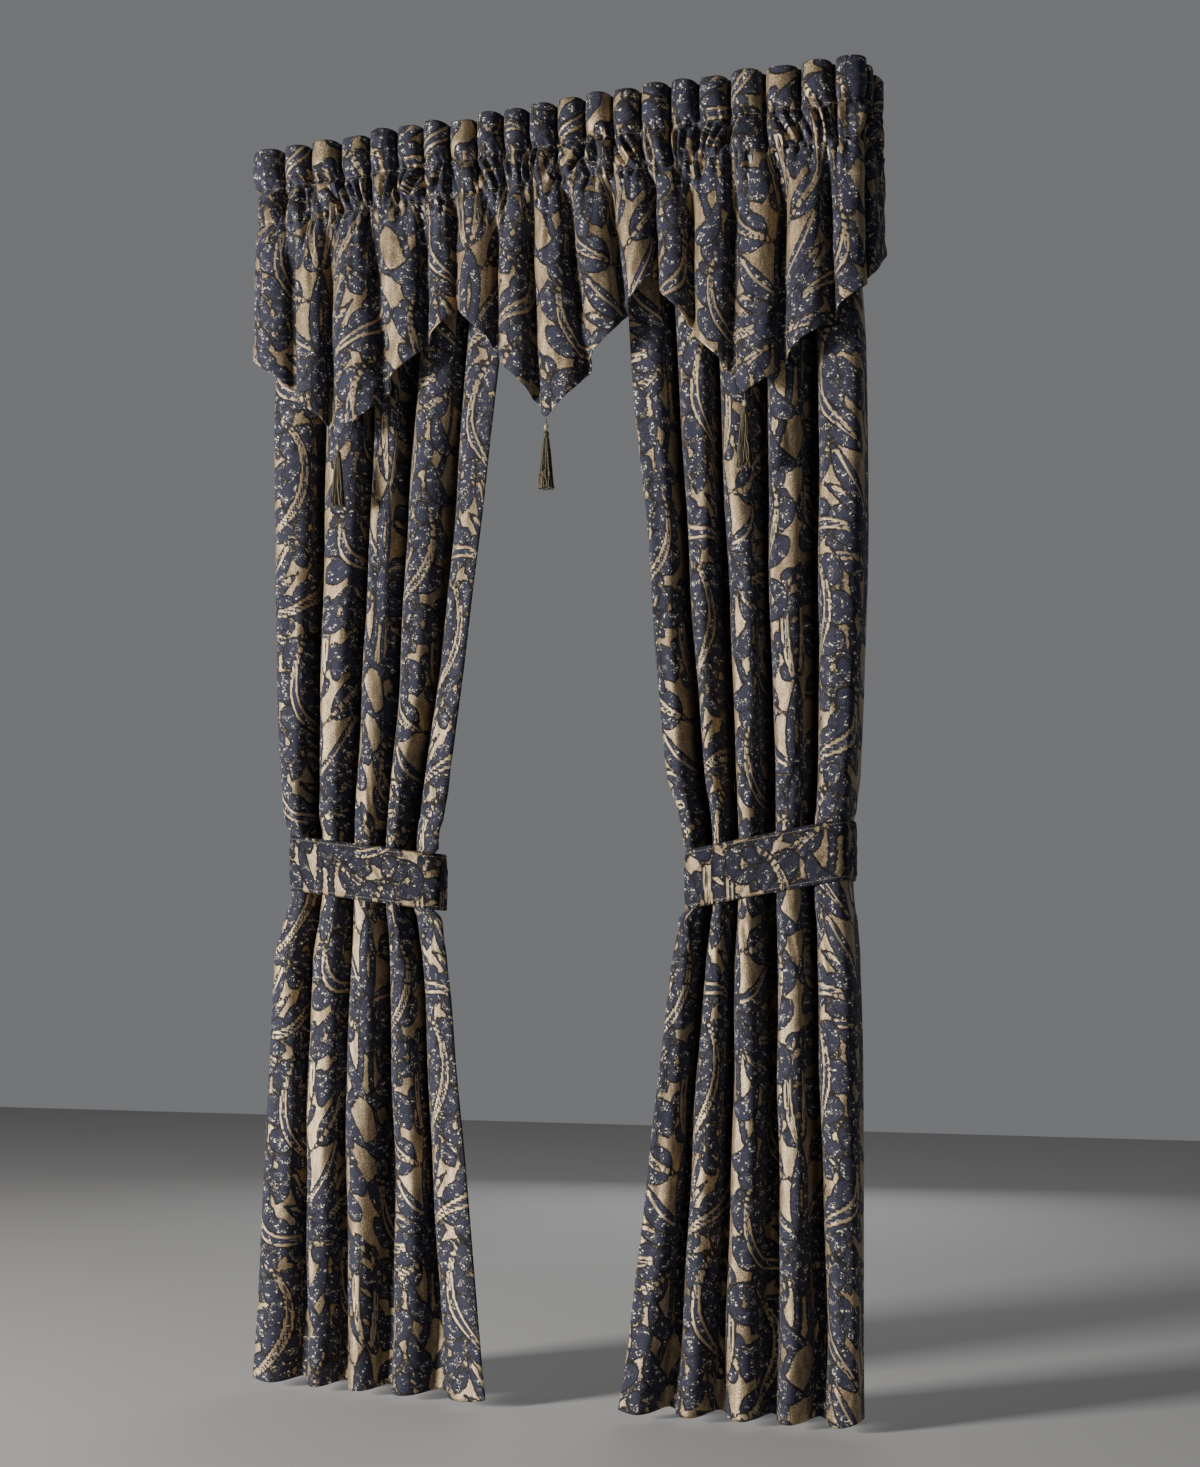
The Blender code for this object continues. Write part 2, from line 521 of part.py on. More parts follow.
def make_tassel(side, index):
    """A tassel under one of the valance's points: cord, bead, bound head and a skirt of strands."""
    lines, heights = valance_lines()
    column = int(np.argmin(np.abs(valance_columns()[1][1] - HEM[index].along)))
    hem_line = lines[-1]
    middle = (hem_line[column] + thickened(hem_line, VALANCE_CLOTH)[column]) / 2
    top = np.array([middle[0], middle[1], heights[-1][column] - SEAM_GAP])
    down = np.array([0.0, 0.0, -1.0])
    points = []
    for stem in TASSEL_STEM:
        points += ring(top + down * stem.drop, stem.radius, TASSEL_SIDES)
    tassel = add_object("tassel_" + side, points, tube(len(TASSEL_STEM), TASSEL_SIDES, 0), "tassel_yarn")
    points, faces = [], []
    for strands in STRAND_RINGS:
        bend_reach = strands.root_reach + (strands.end_reach - strands.root_reach) * STRAND_BEND_SHARE
        rings = ((strands.root_reach, STRAND_ROOT, strands.root_radius),
                 (bend_reach, STRAND_BEND, strands.root_radius),
                 (strands.end_reach, TASSEL_LENGTH, strands.end_radius))
        for n in range(strands.count):
            angle = 2.0 * pi * (n + 0.5) / strands.count
            out = np.array([cos(angle), sin(angle), 0.0])
            faces += tube(len(rings), STRAND_SIDES, len(points))
            for reach, drop, radius in rings:
                points += ring(top + out * reach + down * drop, radius, STRAND_SIDES)
    hidden = add_object("tassel_strands_" + side, points, faces, "tassel_yarn")
    hidden.hide_render = True
    joined = tassel.modifiers.new("strands", "BOOLEAN")
    joined.operation = "UNION"
    joined.solver = "EXACT"
    joined.object = hidden


clear_scene()
make_valance()
make_valance_pocket()
make_valance_lining()
for panel_side, panel_rows in (("left", LEFT_ROWS), ("right", RIGHT_ROWS)):
    make_panel(panel_side, panel_rows)
    make_panel_pocket(panel_side, panel_rows)
    make_tieback(panel_side, panel_rows)
for tassel_side, hem_index in TIPS.items():
    make_tassel(tassel_side, hem_index)
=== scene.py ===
"""A pair of curtains in navy and gold damask, held in by tiebacks, under a gathered and pointed
valance with three tassels. Metres, +Z up; the curtains face -Y."""

from collections import namedtuple
from math import cos, pi, radians, sin

import bpy
import numpy as np
from mathutils import Matrix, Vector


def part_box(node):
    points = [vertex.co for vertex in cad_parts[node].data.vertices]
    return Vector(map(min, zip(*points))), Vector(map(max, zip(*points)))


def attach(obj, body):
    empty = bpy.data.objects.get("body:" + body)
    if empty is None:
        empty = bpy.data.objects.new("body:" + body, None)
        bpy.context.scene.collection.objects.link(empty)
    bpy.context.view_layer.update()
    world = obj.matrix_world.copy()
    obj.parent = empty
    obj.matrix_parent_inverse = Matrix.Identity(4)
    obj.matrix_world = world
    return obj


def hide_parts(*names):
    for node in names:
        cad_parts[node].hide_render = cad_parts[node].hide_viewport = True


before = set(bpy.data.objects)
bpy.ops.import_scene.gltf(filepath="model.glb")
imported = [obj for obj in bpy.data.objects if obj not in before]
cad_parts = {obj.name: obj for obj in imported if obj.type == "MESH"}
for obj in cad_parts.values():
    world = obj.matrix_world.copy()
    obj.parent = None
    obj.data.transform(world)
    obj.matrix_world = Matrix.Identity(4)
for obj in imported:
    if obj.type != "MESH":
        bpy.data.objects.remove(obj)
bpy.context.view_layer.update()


# Studio: the camera looks up at the curtains from low on their right, over a plain pale floor,
# under one large soft lamp in front on the left and weaker ones on the right and behind.

CAMERA_PLACE = (1.2679, -3.1106, -1.4464)
CAMERA_TURN = 20.6235
CAMERA_LENS = 49.2
CAMERA_SHIFT = 0.163
FLOOR_Z = -2.181
FLOOR_HALF = 6.0
FLOOR_DARK, FLOOR_LIGHT = (0.66, 0.65, 0.64), (0.70, 0.69, 0.68)
BACKDROP_GREY = (0.86, 0.88, 0.92)
BACKDROP_GLOW, DARK_SIDE_GLOW = 0.20, 0.012
SHEEN_ROUGHNESS = 0.4
# The numbers of a colour Mix node's sockets, whose names it repeats for each kind of value.
MIX_SHARE, MIX_FIRST, MIX_SECOND, MIX_RESULT = 0, 6, 7, 2

camera = bpy.data.objects.new("camera", bpy.data.cameras.new("camera"))
camera.location = CAMERA_PLACE
camera.rotation_euler = (pi / 2, 0.0, radians(CAMERA_TURN))
camera.data.lens = CAMERA_LENS
camera.data.shift_y = CAMERA_SHIFT
bpy.context.collection.objects.link(camera)
bpy.context.scene.camera = camera


def add_mesh(name, points, faces):
    """One piece from its points and faces, smooth."""
    mesh = bpy.data.meshes.new(name)
    mesh.from_pydata([tuple(p) for p in points], [], [tuple(int(n) for n in face) for face in faces])
    mesh.shade_smooth()
    piece = bpy.data.objects.new(name, mesh)
    bpy.context.collection.objects.link(piece)
    return piece


def add_node(tree, kind, inputs=None, **settings):
    """A new node in a tree, with its settings. Each input takes a value or another node's output."""
    node = tree.nodes.new(kind)
    for name, setting in settings.items():
        setattr(node, name, setting)
    for label, value in (inputs or {}).items():
        if isinstance(value, bpy.types.NodeSocket):
            tree.links.new(value, node.inputs[label])
        else:
            node.inputs[label].default_value = value
    return node


def new_finish(name, roughness, sheen=0.0, specular=0.5):
    """A finish, its tree, and its shader, which holds the values that are the same all over."""
    finish = bpy.data.materials.new(name)
    finish.use_nodes = True
    shader = finish.node_tree.nodes["Principled BSDF"]
    for label, value in (("Roughness", roughness), ("Specular IOR Level", specular),
                         ("Sheen Weight", sheen), ("Sheen Roughness", SHEEN_ROUGHNESS)):
        shader.inputs[label].default_value = value
    return finish, finish.node_tree, shader


def noise_of(tree, place, scale, detail=2.0, rough=0.5, stretch=(1.0, 1.0, 1.0)):
    """Smooth noise over a place, drawn out along its axes."""
    drawn_out = add_node(tree, "ShaderNodeMapping", {"Vector": place, "Scale": stretch})
    return add_node(tree, "ShaderNodeTexNoise", {"Vector": drawn_out.outputs[0], "Scale": scale,
                                                 "Detail": detail, "Roughness": rough}).outputs["Fac"]


def stepped(tree, value, low, high, out_low=0.0, out_high=1.0):
    """A value eased from one level to another between two thresholds."""
    levels = {"Value": value, "From Min": low, "From Max": high, "To Min": out_low, "To Max": out_high}
    return add_node(tree, "ShaderNodeMapRange", levels, interpolation_type="SMOOTHSTEP").outputs["Result"]


def mixed(tree, share, first, second, way="MIX"):
    """Two colours mixed by a share."""
    inputs = {MIX_SHARE: share}
    for number, colour in ((MIX_FIRST, first), (MIX_SECOND, second)):
        inputs[number] = colour if isinstance(colour, bpy.types.NodeSocket) else (*colour, 1.0)
    return add_node(tree, "ShaderNodeMix", inputs, data_type="RGBA", blend_type=way).outputs[MIX_RESULT]


corners = ((-1, -1), (1, -1), (1, 1), (-1, 1))
floor = add_mesh("floor", [(x * FLOOR_HALF, y * FLOOR_HALF, FLOOR_Z) for x, y in corners], [(0, 1, 2, 3)])
floor_finish, tree, shader = new_finish("pale floor", 0.8)
place = add_node(tree, "ShaderNodeTexCoord").outputs["Object"]
tree.links.new(mixed(tree, noise_of(tree, place, 1.5), FLOOR_DARK, FLOOR_LIGHT), shader.inputs["Base Color"])
floor.data.materials.append(floor_finish)

Lamp = namedtuple("Lamp", "name place aim size power colour")
for lamp in (
    Lamp("key lamp", (-3.7, -4.1, -1.05), (0.0, 0.0, -1.20), 1.05, 540.0, (1.0, 0.975, 0.94)),
    Lamp("fill lamp", (2.4, -3.2, -0.9), (0.0, 0.0, -1.1), 2.0, 11.0, (0.92, 0.96, 1.0)),
    Lamp("back lamp", (-0.6, 3.4, -0.6), (0.0, 0.0, -1.1), 2.0, 16.0, (0.96, 0.98, 1.0)),
):
    light = bpy.data.lights.new(lamp.name, "AREA")
    light.size = lamp.size
    light.energy = lamp.power
    light.color = lamp.colour
    stand = bpy.data.objects.new(lamp.name, light)
    stand.location = lamp.place
    away = np.array(lamp.place) - np.array(lamp.aim)
    stand.rotation_euler = (np.arccos(away[2] / np.linalg.norm(away)), 0.0, np.arctan2(away[0], -away[1]))
    bpy.context.collection.objects.link(stand)

# The studio's far side, behind the curtains, is a pale grey; the side that they face is dark.
world = bpy.data.worlds.new("studio")
world.use_nodes = True
tree = world.node_tree
way = add_node(tree, "ShaderNodeTexCoord").outputs["Generated"]
depth = add_node(tree, "ShaderNodeSeparateXYZ", {"Vector": way}).outputs["Y"]
backdrop = tree.nodes["Background"]
backdrop.inputs["Color"].default_value = (*BACKDROP_GREY, 1.0)
tree.links.new(stepped(tree, depth, -0.30, 0.60, DARK_SIDE_GLOW, BACKDROP_GLOW), backdrop.inputs["Strength"])
bpy.context.scene.world = world


# Valance: damask gathered on a rod. A header of round flutes stands above the rod's pocket between
# two sewn lines; below it a skirt of softer folds falls to three points. The cloth is turned back
# over the top edge, at the hem and at both ends.

# The weave is drawn in millimetres, on a repeat of the drawn width and height, and woven at the
# repeat's real size in metres. Each mark clears a gap round itself in what was drawn before it.
Mark = namedtuple("Mark", "shapes gap vein gold")
REPEAT_WIDTH = 0.400
REPEAT_HEIGHT = 0.750
DRAFT_STEP = 0.0025
DRAWN_WIDTH = 320.0
DRAWN_HEIGHT = 600.0
SLANT = 30.0
SECOND_SLANT = 0.35 * SLANT
GOLD_RING = 3.0
GOLD_RING_DEEP = 2.0
LEAF_GAP = 4.6
SPRIG_GAP = 2.4
STEM_GAP = 1.2
BUD_GAP = 1.0
LOBE_DISCS = 6
LOBE_BEND = 0.60
INNER_LOBE_SIZE = 0.86
VEIN_PLACE = 0.55
FINE_VEIN, BROAD_VEIN = 1.15, 1.6
EDGE_HALF = 0.5
LINE_STEP = 4.0
FAR = 30.0


def bowed(start, out, back, end, count):
    """Points along a bowed line from its start to its end, pulled towards two bends."""
    t = np.linspace(0.0, 1.0, count)[:, None]
    start, out, back, end = (np.array(p, dtype=float) for p in (start, out, back, end))
    return (1 - t) ** 3 * start + 3 * (1 - t) ** 2 * t * out + 3 * (1 - t) * t ** 2 * back + t ** 3 * end


def curled(middle, radius, end_radius, start, turn, count=22):
    """Points along a curl that winds in to its middle, angles in degrees."""
    t = np.linspace(0.0, 1.0, count)
    angle = radians(start) + radians(turn) * t
    reach = radius + (end_radius - radius) * t
    return np.column_stack([middle[0] + reach * np.cos(angle), middle[1] + reach * np.sin(angle)])


def blade(spine, width):
    """A leaf's blade as discs, widest before its middle and pointed at both ends."""
    t = np.clip(np.linspace(0.0, 1.0, len(spine)), 0.02, 0.98)
    return np.column_stack([spine, width * np.sin(pi * t ** 0.8) ** 0.7])


def tapered(spine, root, tip):
    """A stem or scroll that changes evenly from its root's half width to its tip's."""
    return np.column_stack([spine, np.linspace(root, tip, len(spine))])


def beside(spine, offset):
    """A line beside another, drawing in to it at both ends."""
    way = np.gradient(spine, axis=0)
    way /= np.linalg.norm(way, axis=1)[:, None]
    t = np.linspace(0.0, 1.0, len(spine))
    return spine + np.column_stack([-way[:, 1], way[:, 0]]) * (offset * np.sin(pi * t ** 0.8) ** 0.6)[:, None]


def lobe(root, along, size, lean, reach, width):
    """One round-shouldered, pointed lobe that grows out of a leaf's spine and bends to its tip."""
    discs = []
    x, y = along
    for step in np.linspace(0.0, 1.0, LOBE_DISCS):
        turn = radians(lean) * (1.0 - LOBE_BEND * step)
        way = np.array([x * cos(turn) - y * sin(turn), x * sin(turn) + y * cos(turn)])
        swell = 0.70 + 0.55 * sin(pi * min(1.0, step * 1.05)) - 0.62 * step ** 2
        discs.append((*(root + way * reach * size * step), width * size * swell))
    return np.array(discs)


def leaf(shape, gap, gold=False):
    """A mark in one piece: a plain leaf, a stem or a scroll."""
    return Mark([shape], gap, 0.0, gold)


def vein(line, width):
    """A drawn line, of half the width given."""
    return Mark([line], 0.0, width, True)


def lobed(spine, reach, width, count, leans, middle):
    """A leaf: lobes down both sides of its spine, its narrow middle over them, and two fine veins."""
    shapes = []
    for share in np.linspace(0.93, 0.10, count):
        n = share * (len(spine) - 1)
        a = int(min(n, len(spine) - 2))
        root = spine[a] + (spine[a + 1] - spine[a]) * (n - a)
        along = (spine[a + 1] - spine[a]) / np.hypot(*(spine[a + 1] - spine[a]))
        size = sin(pi * (0.16 + 0.74 * share)) ** 0.6
        shapes += [lobe(root, along, size, lean, reach if lean > 0 else reach * INNER_LOBE_SIZE, width)
                   for lean in leans]
    shapes.append(blade(spine, middle))
    veins = [vein(beside(spine, side * VEIN_PLACE * middle)[1:-1], FINE_VEIN) for side in (1, -1)]
    return [Mark(shapes, LEAF_GAP, 0.0, False)] + veins


def motif():
    """One motif's right half in millimetres from its middle, lowest mark first."""
    stem = bowed((118, 122), (158, 180), (160, 246), (134, 300), 20)
    crest = bowed((2, 128), (18, 168), (22, 222), (4, 272), 20)
    low = bowed((10, -40), (92, -52), (128, -160), (60, -248), 26)
    side = bowed((16, -8), (88, -46), (158, 14), (120, 108), 26)
    plume = bowed((18, 92), (96, 108), (118, 200), (48, 262), 26)
    marks = [
        leaf(tapered(stem, 6.0, 4.0), STEM_GAP),
        *lobed(crest, 26, 12.5, 4, (60, -56), 7.0),
        leaf(tapered(curled((40, -232), 27, 8, -70, -300), 9.5, 8.0), LEAF_GAP),
        *lobed(low, 50, 17.5, 5, (60, -54), 9.0),
        leaf(tapered(curled((100, 90), 29, 8, 10, 300), 10.5, 8.5), LEAF_GAP),
        *lobed(side, 46, 17.0, 5, (56, -56), 9.0),
        leaf(tapered(curled((38, 236), 26, 7, 60, 300), 9.5, 8.0), LEAF_GAP),
        *lobed(plume, 46, 16.5, 5, (54, -54), 8.5),
    ]
    for angle, length, width in ((6, 78, 12.0), (42, 96, 13.5)):
        a, b = radians(angle), radians(angle) - 0.45
        bend = (cos(b) * length * 0.55, 24 + sin(b) * length * 0.55)
        spine = bowed((4, 14), bend, bend, (cos(a) * length, 24 + sin(a) * length), 16)
        marks += [leaf(blade(spine, width), LEAF_GAP), vein(beside(spine, 0.30 * width)[2:-2], BROAD_VEIN)]
    marks += [
        leaf(blade(bowed((0, 14), (0, 52), (0, 90), (0, 130), 14), 17.0), LEAF_GAP),
        leaf(blade(bowed((0, 34), (0, 56), (0, 78), (0, 100), 10), 5.0), BUD_GAP, True),
        leaf(tapered(curled((28, -14), 17, 6, 160, 280, 16), 8.0, 6.5), SPRIG_GAP),
        leaf(blade(bowed((0, -58), (0, -28), (0, -4), (0, 22), 10), 14.0), SPRIG_GAP),
    ]
    for height in (-122, -190):
        sprig = bowed((2, height), (22, height + 2), (38, height + 20), (40, height + 58), 12)
        marks.append(leaf(blade(sprig, 11.5), SPRIG_GAP))
    return marks


def depth_in(discs, spots):
    """How deep each place lies inside a shape of discs; the motif stands at two spots in a repeat."""
    value = np.full(spots[0][0].shape, -DRAWN_HEIGHT)
    for across, up in spots:
        for x, y, radius in discs:
            rise = (up - y + DRAWN_HEIGHT / 2) % DRAWN_HEIGHT - DRAWN_HEIGHT / 2
            value = np.maximum(value, radius - np.hypot(across - x, rise))
    return value


def beside_line(line, spots):
    """How far each place lies to the left of a line, or to its right where negative."""
    nearest = np.full(spots[0][0].shape, FAR)
    way = np.gradient(line, axis=0)
    way /= np.linalg.norm(way, axis=1)[:, None]
    for across, up in spots:
        for (x, y), (dx, dy) in zip(line, way):
            rise = (up - y + DRAWN_HEIGHT / 2) % DRAWN_HEIGHT - DRAWN_HEIGHT / 2
            left = dx * rise - dy * (across - x)
            along = np.abs(dx * (across - x) + dy * rise)
            gap = np.where(along < LINE_STEP, np.abs(left), np.hypot(across - x, rise))
            nearest = np.where(gap < np.abs(nearest), np.where(left > 0, gap, -gap), nearest)
    return nearest


def weaving_draft():
    """One repeat of the weave, in metres: how deep each place lies inside the navy, gold below zero,
    and for the drawn lines how far to their left it lies, how far off, and their half width. The
    motif is mirrored down its middle, stands again half a repeat across and half a repeat up, and
    leans over along a wave, so that no fold shows it whole."""
    x, y = np.meshgrid(np.arange(0.0, REPEAT_WIDTH, DRAFT_STEP) * DRAWN_WIDTH / REPEAT_WIDTH,
                       np.arange(0.0, REPEAT_HEIGHT, DRAFT_STEP) * DRAWN_HEIGHT / REPEAT_HEIGHT)
    wave = 2 * pi * x / DRAWN_WIDTH
    y = y + SLANT * np.sin(wave) + SECOND_SLANT * np.sin(2 * wave + 1.0)
    x = np.abs((x + DRAWN_WIDTH / 2) % DRAWN_WIDTH - DRAWN_WIDTH / 2)
    spots = ((x, y), (DRAWN_WIDTH / 2 - x, y + DRAWN_HEIGHT / 2))
    inside, left, off, wide = (np.full(x.shape, value) for value in (-FAR, FAR, FAR, EDGE_HALF))
    for mark in motif():
        if mark.vein:
            side = beside_line(mark.shapes[0], spots)
            nearer = np.abs(side) < off
            left, off, wide = (np.where(nearer, new, old) for new, old in
                               ((side, left), (np.abs(side), off), (mark.vein, wide)))
            continue
        parts = [depth_in(discs, spots) for discs in mark.shapes]
        whole = np.maximum.reduce(parts)
        if mark.gold:
            inside = np.minimum(np.maximum(inside, np.minimum(whole + GOLD_RING, GOLD_RING_DEEP)), -whole)
        else:
            inside = np.maximum(whole, np.minimum(inside, -whole - mark.gap))
        covered = whole > -mark.gap
        left, off = np.where(covered, FAR, left), np.where(covered, FAR, off)
        for part in parts:
            nearer = (part > 0.0) | (-part < off)
            left, off, wide = (np.where(nearer, new, old) for new, old in
                               ((part, left), (np.abs(part), off), (EDGE_HALF, wide)))
    return np.stack([inside, left, off, wide], axis=2) * REPEAT_WIDTH / DRAWN_WIDTH


DRAFT = weaving_draft()


def woven(across, up):
    """The draft's values at places on the flat cloth, in metres."""
    x = (across / DRAFT_STEP) % DRAFT.shape[1]
    y = (up / DRAFT_STEP) % DRAFT.shape[0]
    x0, y0 = x.astype(int) % DRAFT.shape[1], y.astype(int) % DRAFT.shape[0]
    x1, y1 = (x0 + 1) % DRAFT.shape[1], (y0 + 1) % DRAFT.shape[0]
    fx, fy = (x - np.floor(x))[..., None], (y - np.floor(y))[..., None]
    low = DRAFT[y0, x0] * (1 - fx) + DRAFT[y0, x1] * fx
    high = DRAFT[y1, x0] * (1 - fx) + DRAFT[y1, x1] * fx
    return low * (1 - fy) + high * fy


# The damask's threads: the navy and the gold are each a dark and a light one, by the weave's grain.
NAVY_DARK, NAVY_LIGHT = (0.010, 0.010, 0.019), (0.048, 0.049, 0.082)
GOLD_DARK, GOLD_LIGHT, GOLD_PATCH = (0.19, 0.140, 0.082), (0.60, 0.465, 0.295), (0.20, 0.138, 0.078)
LEAF_OUTLINE, FINE_LINE, BROAD_LINE = (0.012, 0.010, 0.010), (0.010, 0.009, 0.011), (0.44, 0.335, 0.20)
FLECK_SILVER = (1.0, 0.91, 0.70)
# Deep between its folds and in its creases the cloth lies in shade, which is painted on: its colours are
# darkened there by up to these shares.
PAINTED_HOLLOW_SHADE = np.array((0.22, 0.20, 0.20))
RAGGED_EDGE = 0.0050
NAVY_SPREAD = 0.0014
LINE_WAVER = 0.22
OUTLINE_SHARE = 0.85
PATCH_SHARE = 0.62
FLECK_METAL = 0.4
GOLD_METAL = 0.64
NAVY_MATT = 0.28
GOLD_ROUGHNESS = (0.44, 0.60)
METAL_HEIGHT = 0.8
WEAVE_RELIEF = 0.0006
# Noise over the cloth: its scale, detail and roughness, and how much it is squeezed each way.
EDGE_NOISE = (170.0, 2.0, 0.6)
CURL_NOISE = (270.0, 1.0)
CLUSTER_NOISE = (80.0, 2.0)
GRAIN_NOISE = (400.0, 2.0, 0.65, (1.3, 0.75, 1.0))
PATCH_NOISE = (110.0, 2.0, 0.5, (1.0, 0.35, 1.0))
# Between which two values each thing starts and is whole, in metres or in shares of the noise.
NAVY_EDGE, OUTLINE_EDGE = (-0.0004, 0.0004), (0.0006, 0.0013)
LINE_EDGE, LINE_REACH, BROAD_FROM = (-0.0002, 0.0004), (0.0028, 0.0034), (0.0008, 0.0012)
FLECK_CLEARANCE = (0.0014, 0.0026)
CURL_LEVEL, CURL_EDGE, DOT_EDGE, CLUSTER_EDGE = 0.47, (0.007, 0.012), (0.605, 0.615), (0.535, 0.560)
GOLD_GRAIN, NAVY_GRAIN, PATCH_EDGE = (0.35, 0.65), (0.3, 0.7), (0.42, 0.62)


def maths(tree, operation, *values):
    """Values put together, each a number or a node's output."""
    return add_node(tree, "ShaderNodeMath", dict(enumerate(values)), operation=operation).outputs[0]


def times(tree, first, *others):
    """Values multiplied."""
    for other in others:
        first = maths(tree, "MULTIPLY", first, other)
    return first


def plus(tree, first, second):
    """Two values added."""
    return maths(tree, "ADD", first, second)


def flat_place(tree):
    """Each point's place on the flat cloth, in metres."""
    return add_node(tree, "ShaderNodeUVMap", uv_map="cloth").outputs["UV"]


def stored(tree, name, output="Fac"):
    """A value that a piece's mesh holds at each point."""
    return add_node(tree, "ShaderNodeAttribute", attribute_name=name).outputs[output]


def raised(tree, shader, height, depth):
    """Relief on a shader: a height from 0 to 1, and how deep that is in metres."""
    bump = add_node(tree, "ShaderNodeBump", {"Strength": 1.0, "Distance": depth, "Height": height})
    tree.links.new(bump.outputs["Normal"], shader.inputs["Normal"])


def drawn_on(tree, place):
    """Shares of the navy, of its outline, of the drawn lines and of those that are broad, and how far
    off the nearest line or edge lies. Noise makes the edges ragged."""
    lines = stored(tree, "lines", "Vector")
    left, off, wide = add_node(tree, "ShaderNodeSeparateXYZ", {"Vector": lines}).outputs
    noise = maths(tree, "SUBTRACT", noise_of(tree, place, *EDGE_NOISE), 0.5)
    ragged = times(tree, noise, RAGGED_EDGE)
    inside = plus(tree, stored(tree, "draft"), plus(tree, ragged, NAVY_SPREAD))
    navy = stepped(tree, inside, *NAVY_EDGE)
    outline = stepped(tree, maths(tree, "ABSOLUTE", inside), *OUTLINE_EDGE, 1.0, 0.0)
    across = maths(tree, "ABSOLUTE", plus(tree, left, times(tree, ragged, LINE_WAVER)))
    line = stepped(tree, maths(tree, "SUBTRACT", across, wide), *LINE_EDGE, 1.0, 0.0)
    line = times(tree, line, stepped(tree, off, *LINE_REACH, 1.0, 0.0), navy)
    return navy, outline, line, stepped(tree, wide, *BROAD_FROM), off


def flecks_on(tree, place):
    """Small curls and dots of bright thread, in clusters."""
    fine = noise_of(tree, place, *CURL_NOISE)
    off_level = maths(tree, "ABSOLUTE", maths(tree, "SUBTRACT", fine, CURL_LEVEL))
    curls = stepped(tree, off_level, *CURL_EDGE, 1.0, 0.0)
    dots = stepped(tree, fine, *DOT_EDGE)
    clusters = stepped(tree, noise_of(tree, place, *CLUSTER_NOISE), *CLUSTER_EDGE)
    return times(tree, maths(tree, "MAXIMUM", curls, dots), clusters)


def damask(name, light=1.0, sheen=0.14):
    """Navy leaves with dark outlines, fine dark lines, broad gold ones and curly silver flecks, on a
    grainy gold ground, with shade painted in its hollows and creases. light makes all its colours darker
    where it is below 1: painted shade, for cloth that the lamps light more than the folds."""
    finish, tree, shader = new_finish(name, 0.5, sheen=sheen, specular=0.3 * light)
    place = flat_place(tree)
    navy, outline, line, broad, off = drawn_on(tree, place)
    flecks = times(tree, flecks_on(tree, place), stepped(tree, off, *FLECK_CLEARANCE), navy)
    grain = noise_of(tree, place, *GRAIN_NOISE)
    patches = noise_of(tree, place, *PATCH_NOISE)
    gold = mixed(tree, stepped(tree, grain, *GOLD_GRAIN), GOLD_DARK, GOLD_LIGHT)
    gold = mixed(tree, stepped(tree, patches, *PATCH_EDGE, 0.0, PATCH_SHARE), gold, GOLD_PATCH)
    blue = mixed(tree, stepped(tree, grain, *NAVY_GRAIN), NAVY_DARK, NAVY_LIGHT)
    shown = mixed(tree, navy, gold, blue)
    shown = mixed(tree, times(tree, outline, OUTLINE_SHARE), shown, LEAF_OUTLINE)
    shown = mixed(tree, line, shown, mixed(tree, broad, FINE_LINE, BROAD_LINE))
    shown = mixed(tree, flecks, shown, FLECK_SILVER)
    # Painted shade: the colours are darkened where the cloth lies deep in a hollow or a crease.
    painted_shade = mixed(tree, stored(tree, "hollow"), (light, light, light), light * PAINTED_HOLLOW_SHADE)
    tree.links.new(mixed(tree, 1.0, shown, painted_shade, "MULTIPLY"), shader.inputs["Base Color"])
    ground = maths(tree, "SUBTRACT", 1.0, navy)
    metal = maths(tree, "MAXIMUM", maths(tree, "MAXIMUM", ground, times(tree, flecks, FLECK_METAL)),
                  times(tree, line, broad))
    tree.links.new(times(tree, metal, GOLD_METAL), shader.inputs["Metallic"])
    matt = times(tree, maths(tree, "SUBTRACT", 1.0, metal), NAVY_MATT)
    roughness = plus(tree, stepped(tree, grain, *NAVY_GRAIN, *GOLD_ROUGHNESS), matt)
    tree.links.new(roughness, shader.inputs["Roughness"])
    raised(tree, shader, plus(tree, times(tree, metal, METAL_HEIGHT), grain), WEAVE_RELIEF)
    return finish


damask_finish = damask("damask")
# The tiebacks' copy of the damask has less sheen, and its colours are painted darker as shade, since their
# flat bands catch more of the key lamp than the folds do.
tie_shaded_finish = damask("tieback damask with painted shade", 0.66, 0.02)


def flowing(places, values, at):
    """Values between those given, along a smooth curve that never swings past them."""
    places, values, at = (np.asarray(a, dtype=float) for a in (places, values, at))
    steps = np.diff(places)
    slopes = np.diff(values) / steps
    tangents = np.zeros(len(values))
    product = slopes[:-1] * slopes[1:]
    total = np.where(product > 0, slopes[:-1] + slopes[1:], 1.0)
    tangents[1:-1] = np.where(product > 0, 2 * product / total, 0.0)
    tangents[0], tangents[-1] = slopes[0], slopes[-1]
    n = np.clip(np.searchsorted(places, at, side="right") - 1, 0, len(steps) - 1)
    t = np.clip((at - places[n]) / steps[n], 0.0, 1.0)
    return ((1 + 2 * t) * (1 - t) ** 2 * values[n] + t * (1 - t) ** 2 * steps[n] * tangents[n]
            + t ** 2 * (3 - 2 * t) * values[n + 1] - t ** 2 * (1 - t) * steps[n] * tangents[n + 1])


def ripple(along, lengths, seed):
    """A lively wave between about -1 and 1, made of a few wavelengths."""
    phases = np.random.default_rng(seed).uniform(0.0, 2 * pi, len(lengths))
    waves = sum(np.sin(2 * pi * along / length + phase) for length, phase in zip(lengths, phases))
    return waves / len(lengths) * 1.4


def cloth_normals(face):
    """Unit normals of a grid of points whose rows run down and columns run from left to right."""
    across = np.gradient(face, axis=1)
    down = np.gradient(face, axis=0)
    normals = np.cross(down, across)
    return normals / np.maximum(np.linalg.norm(normals, axis=2), 1e-12)[:, :, None]


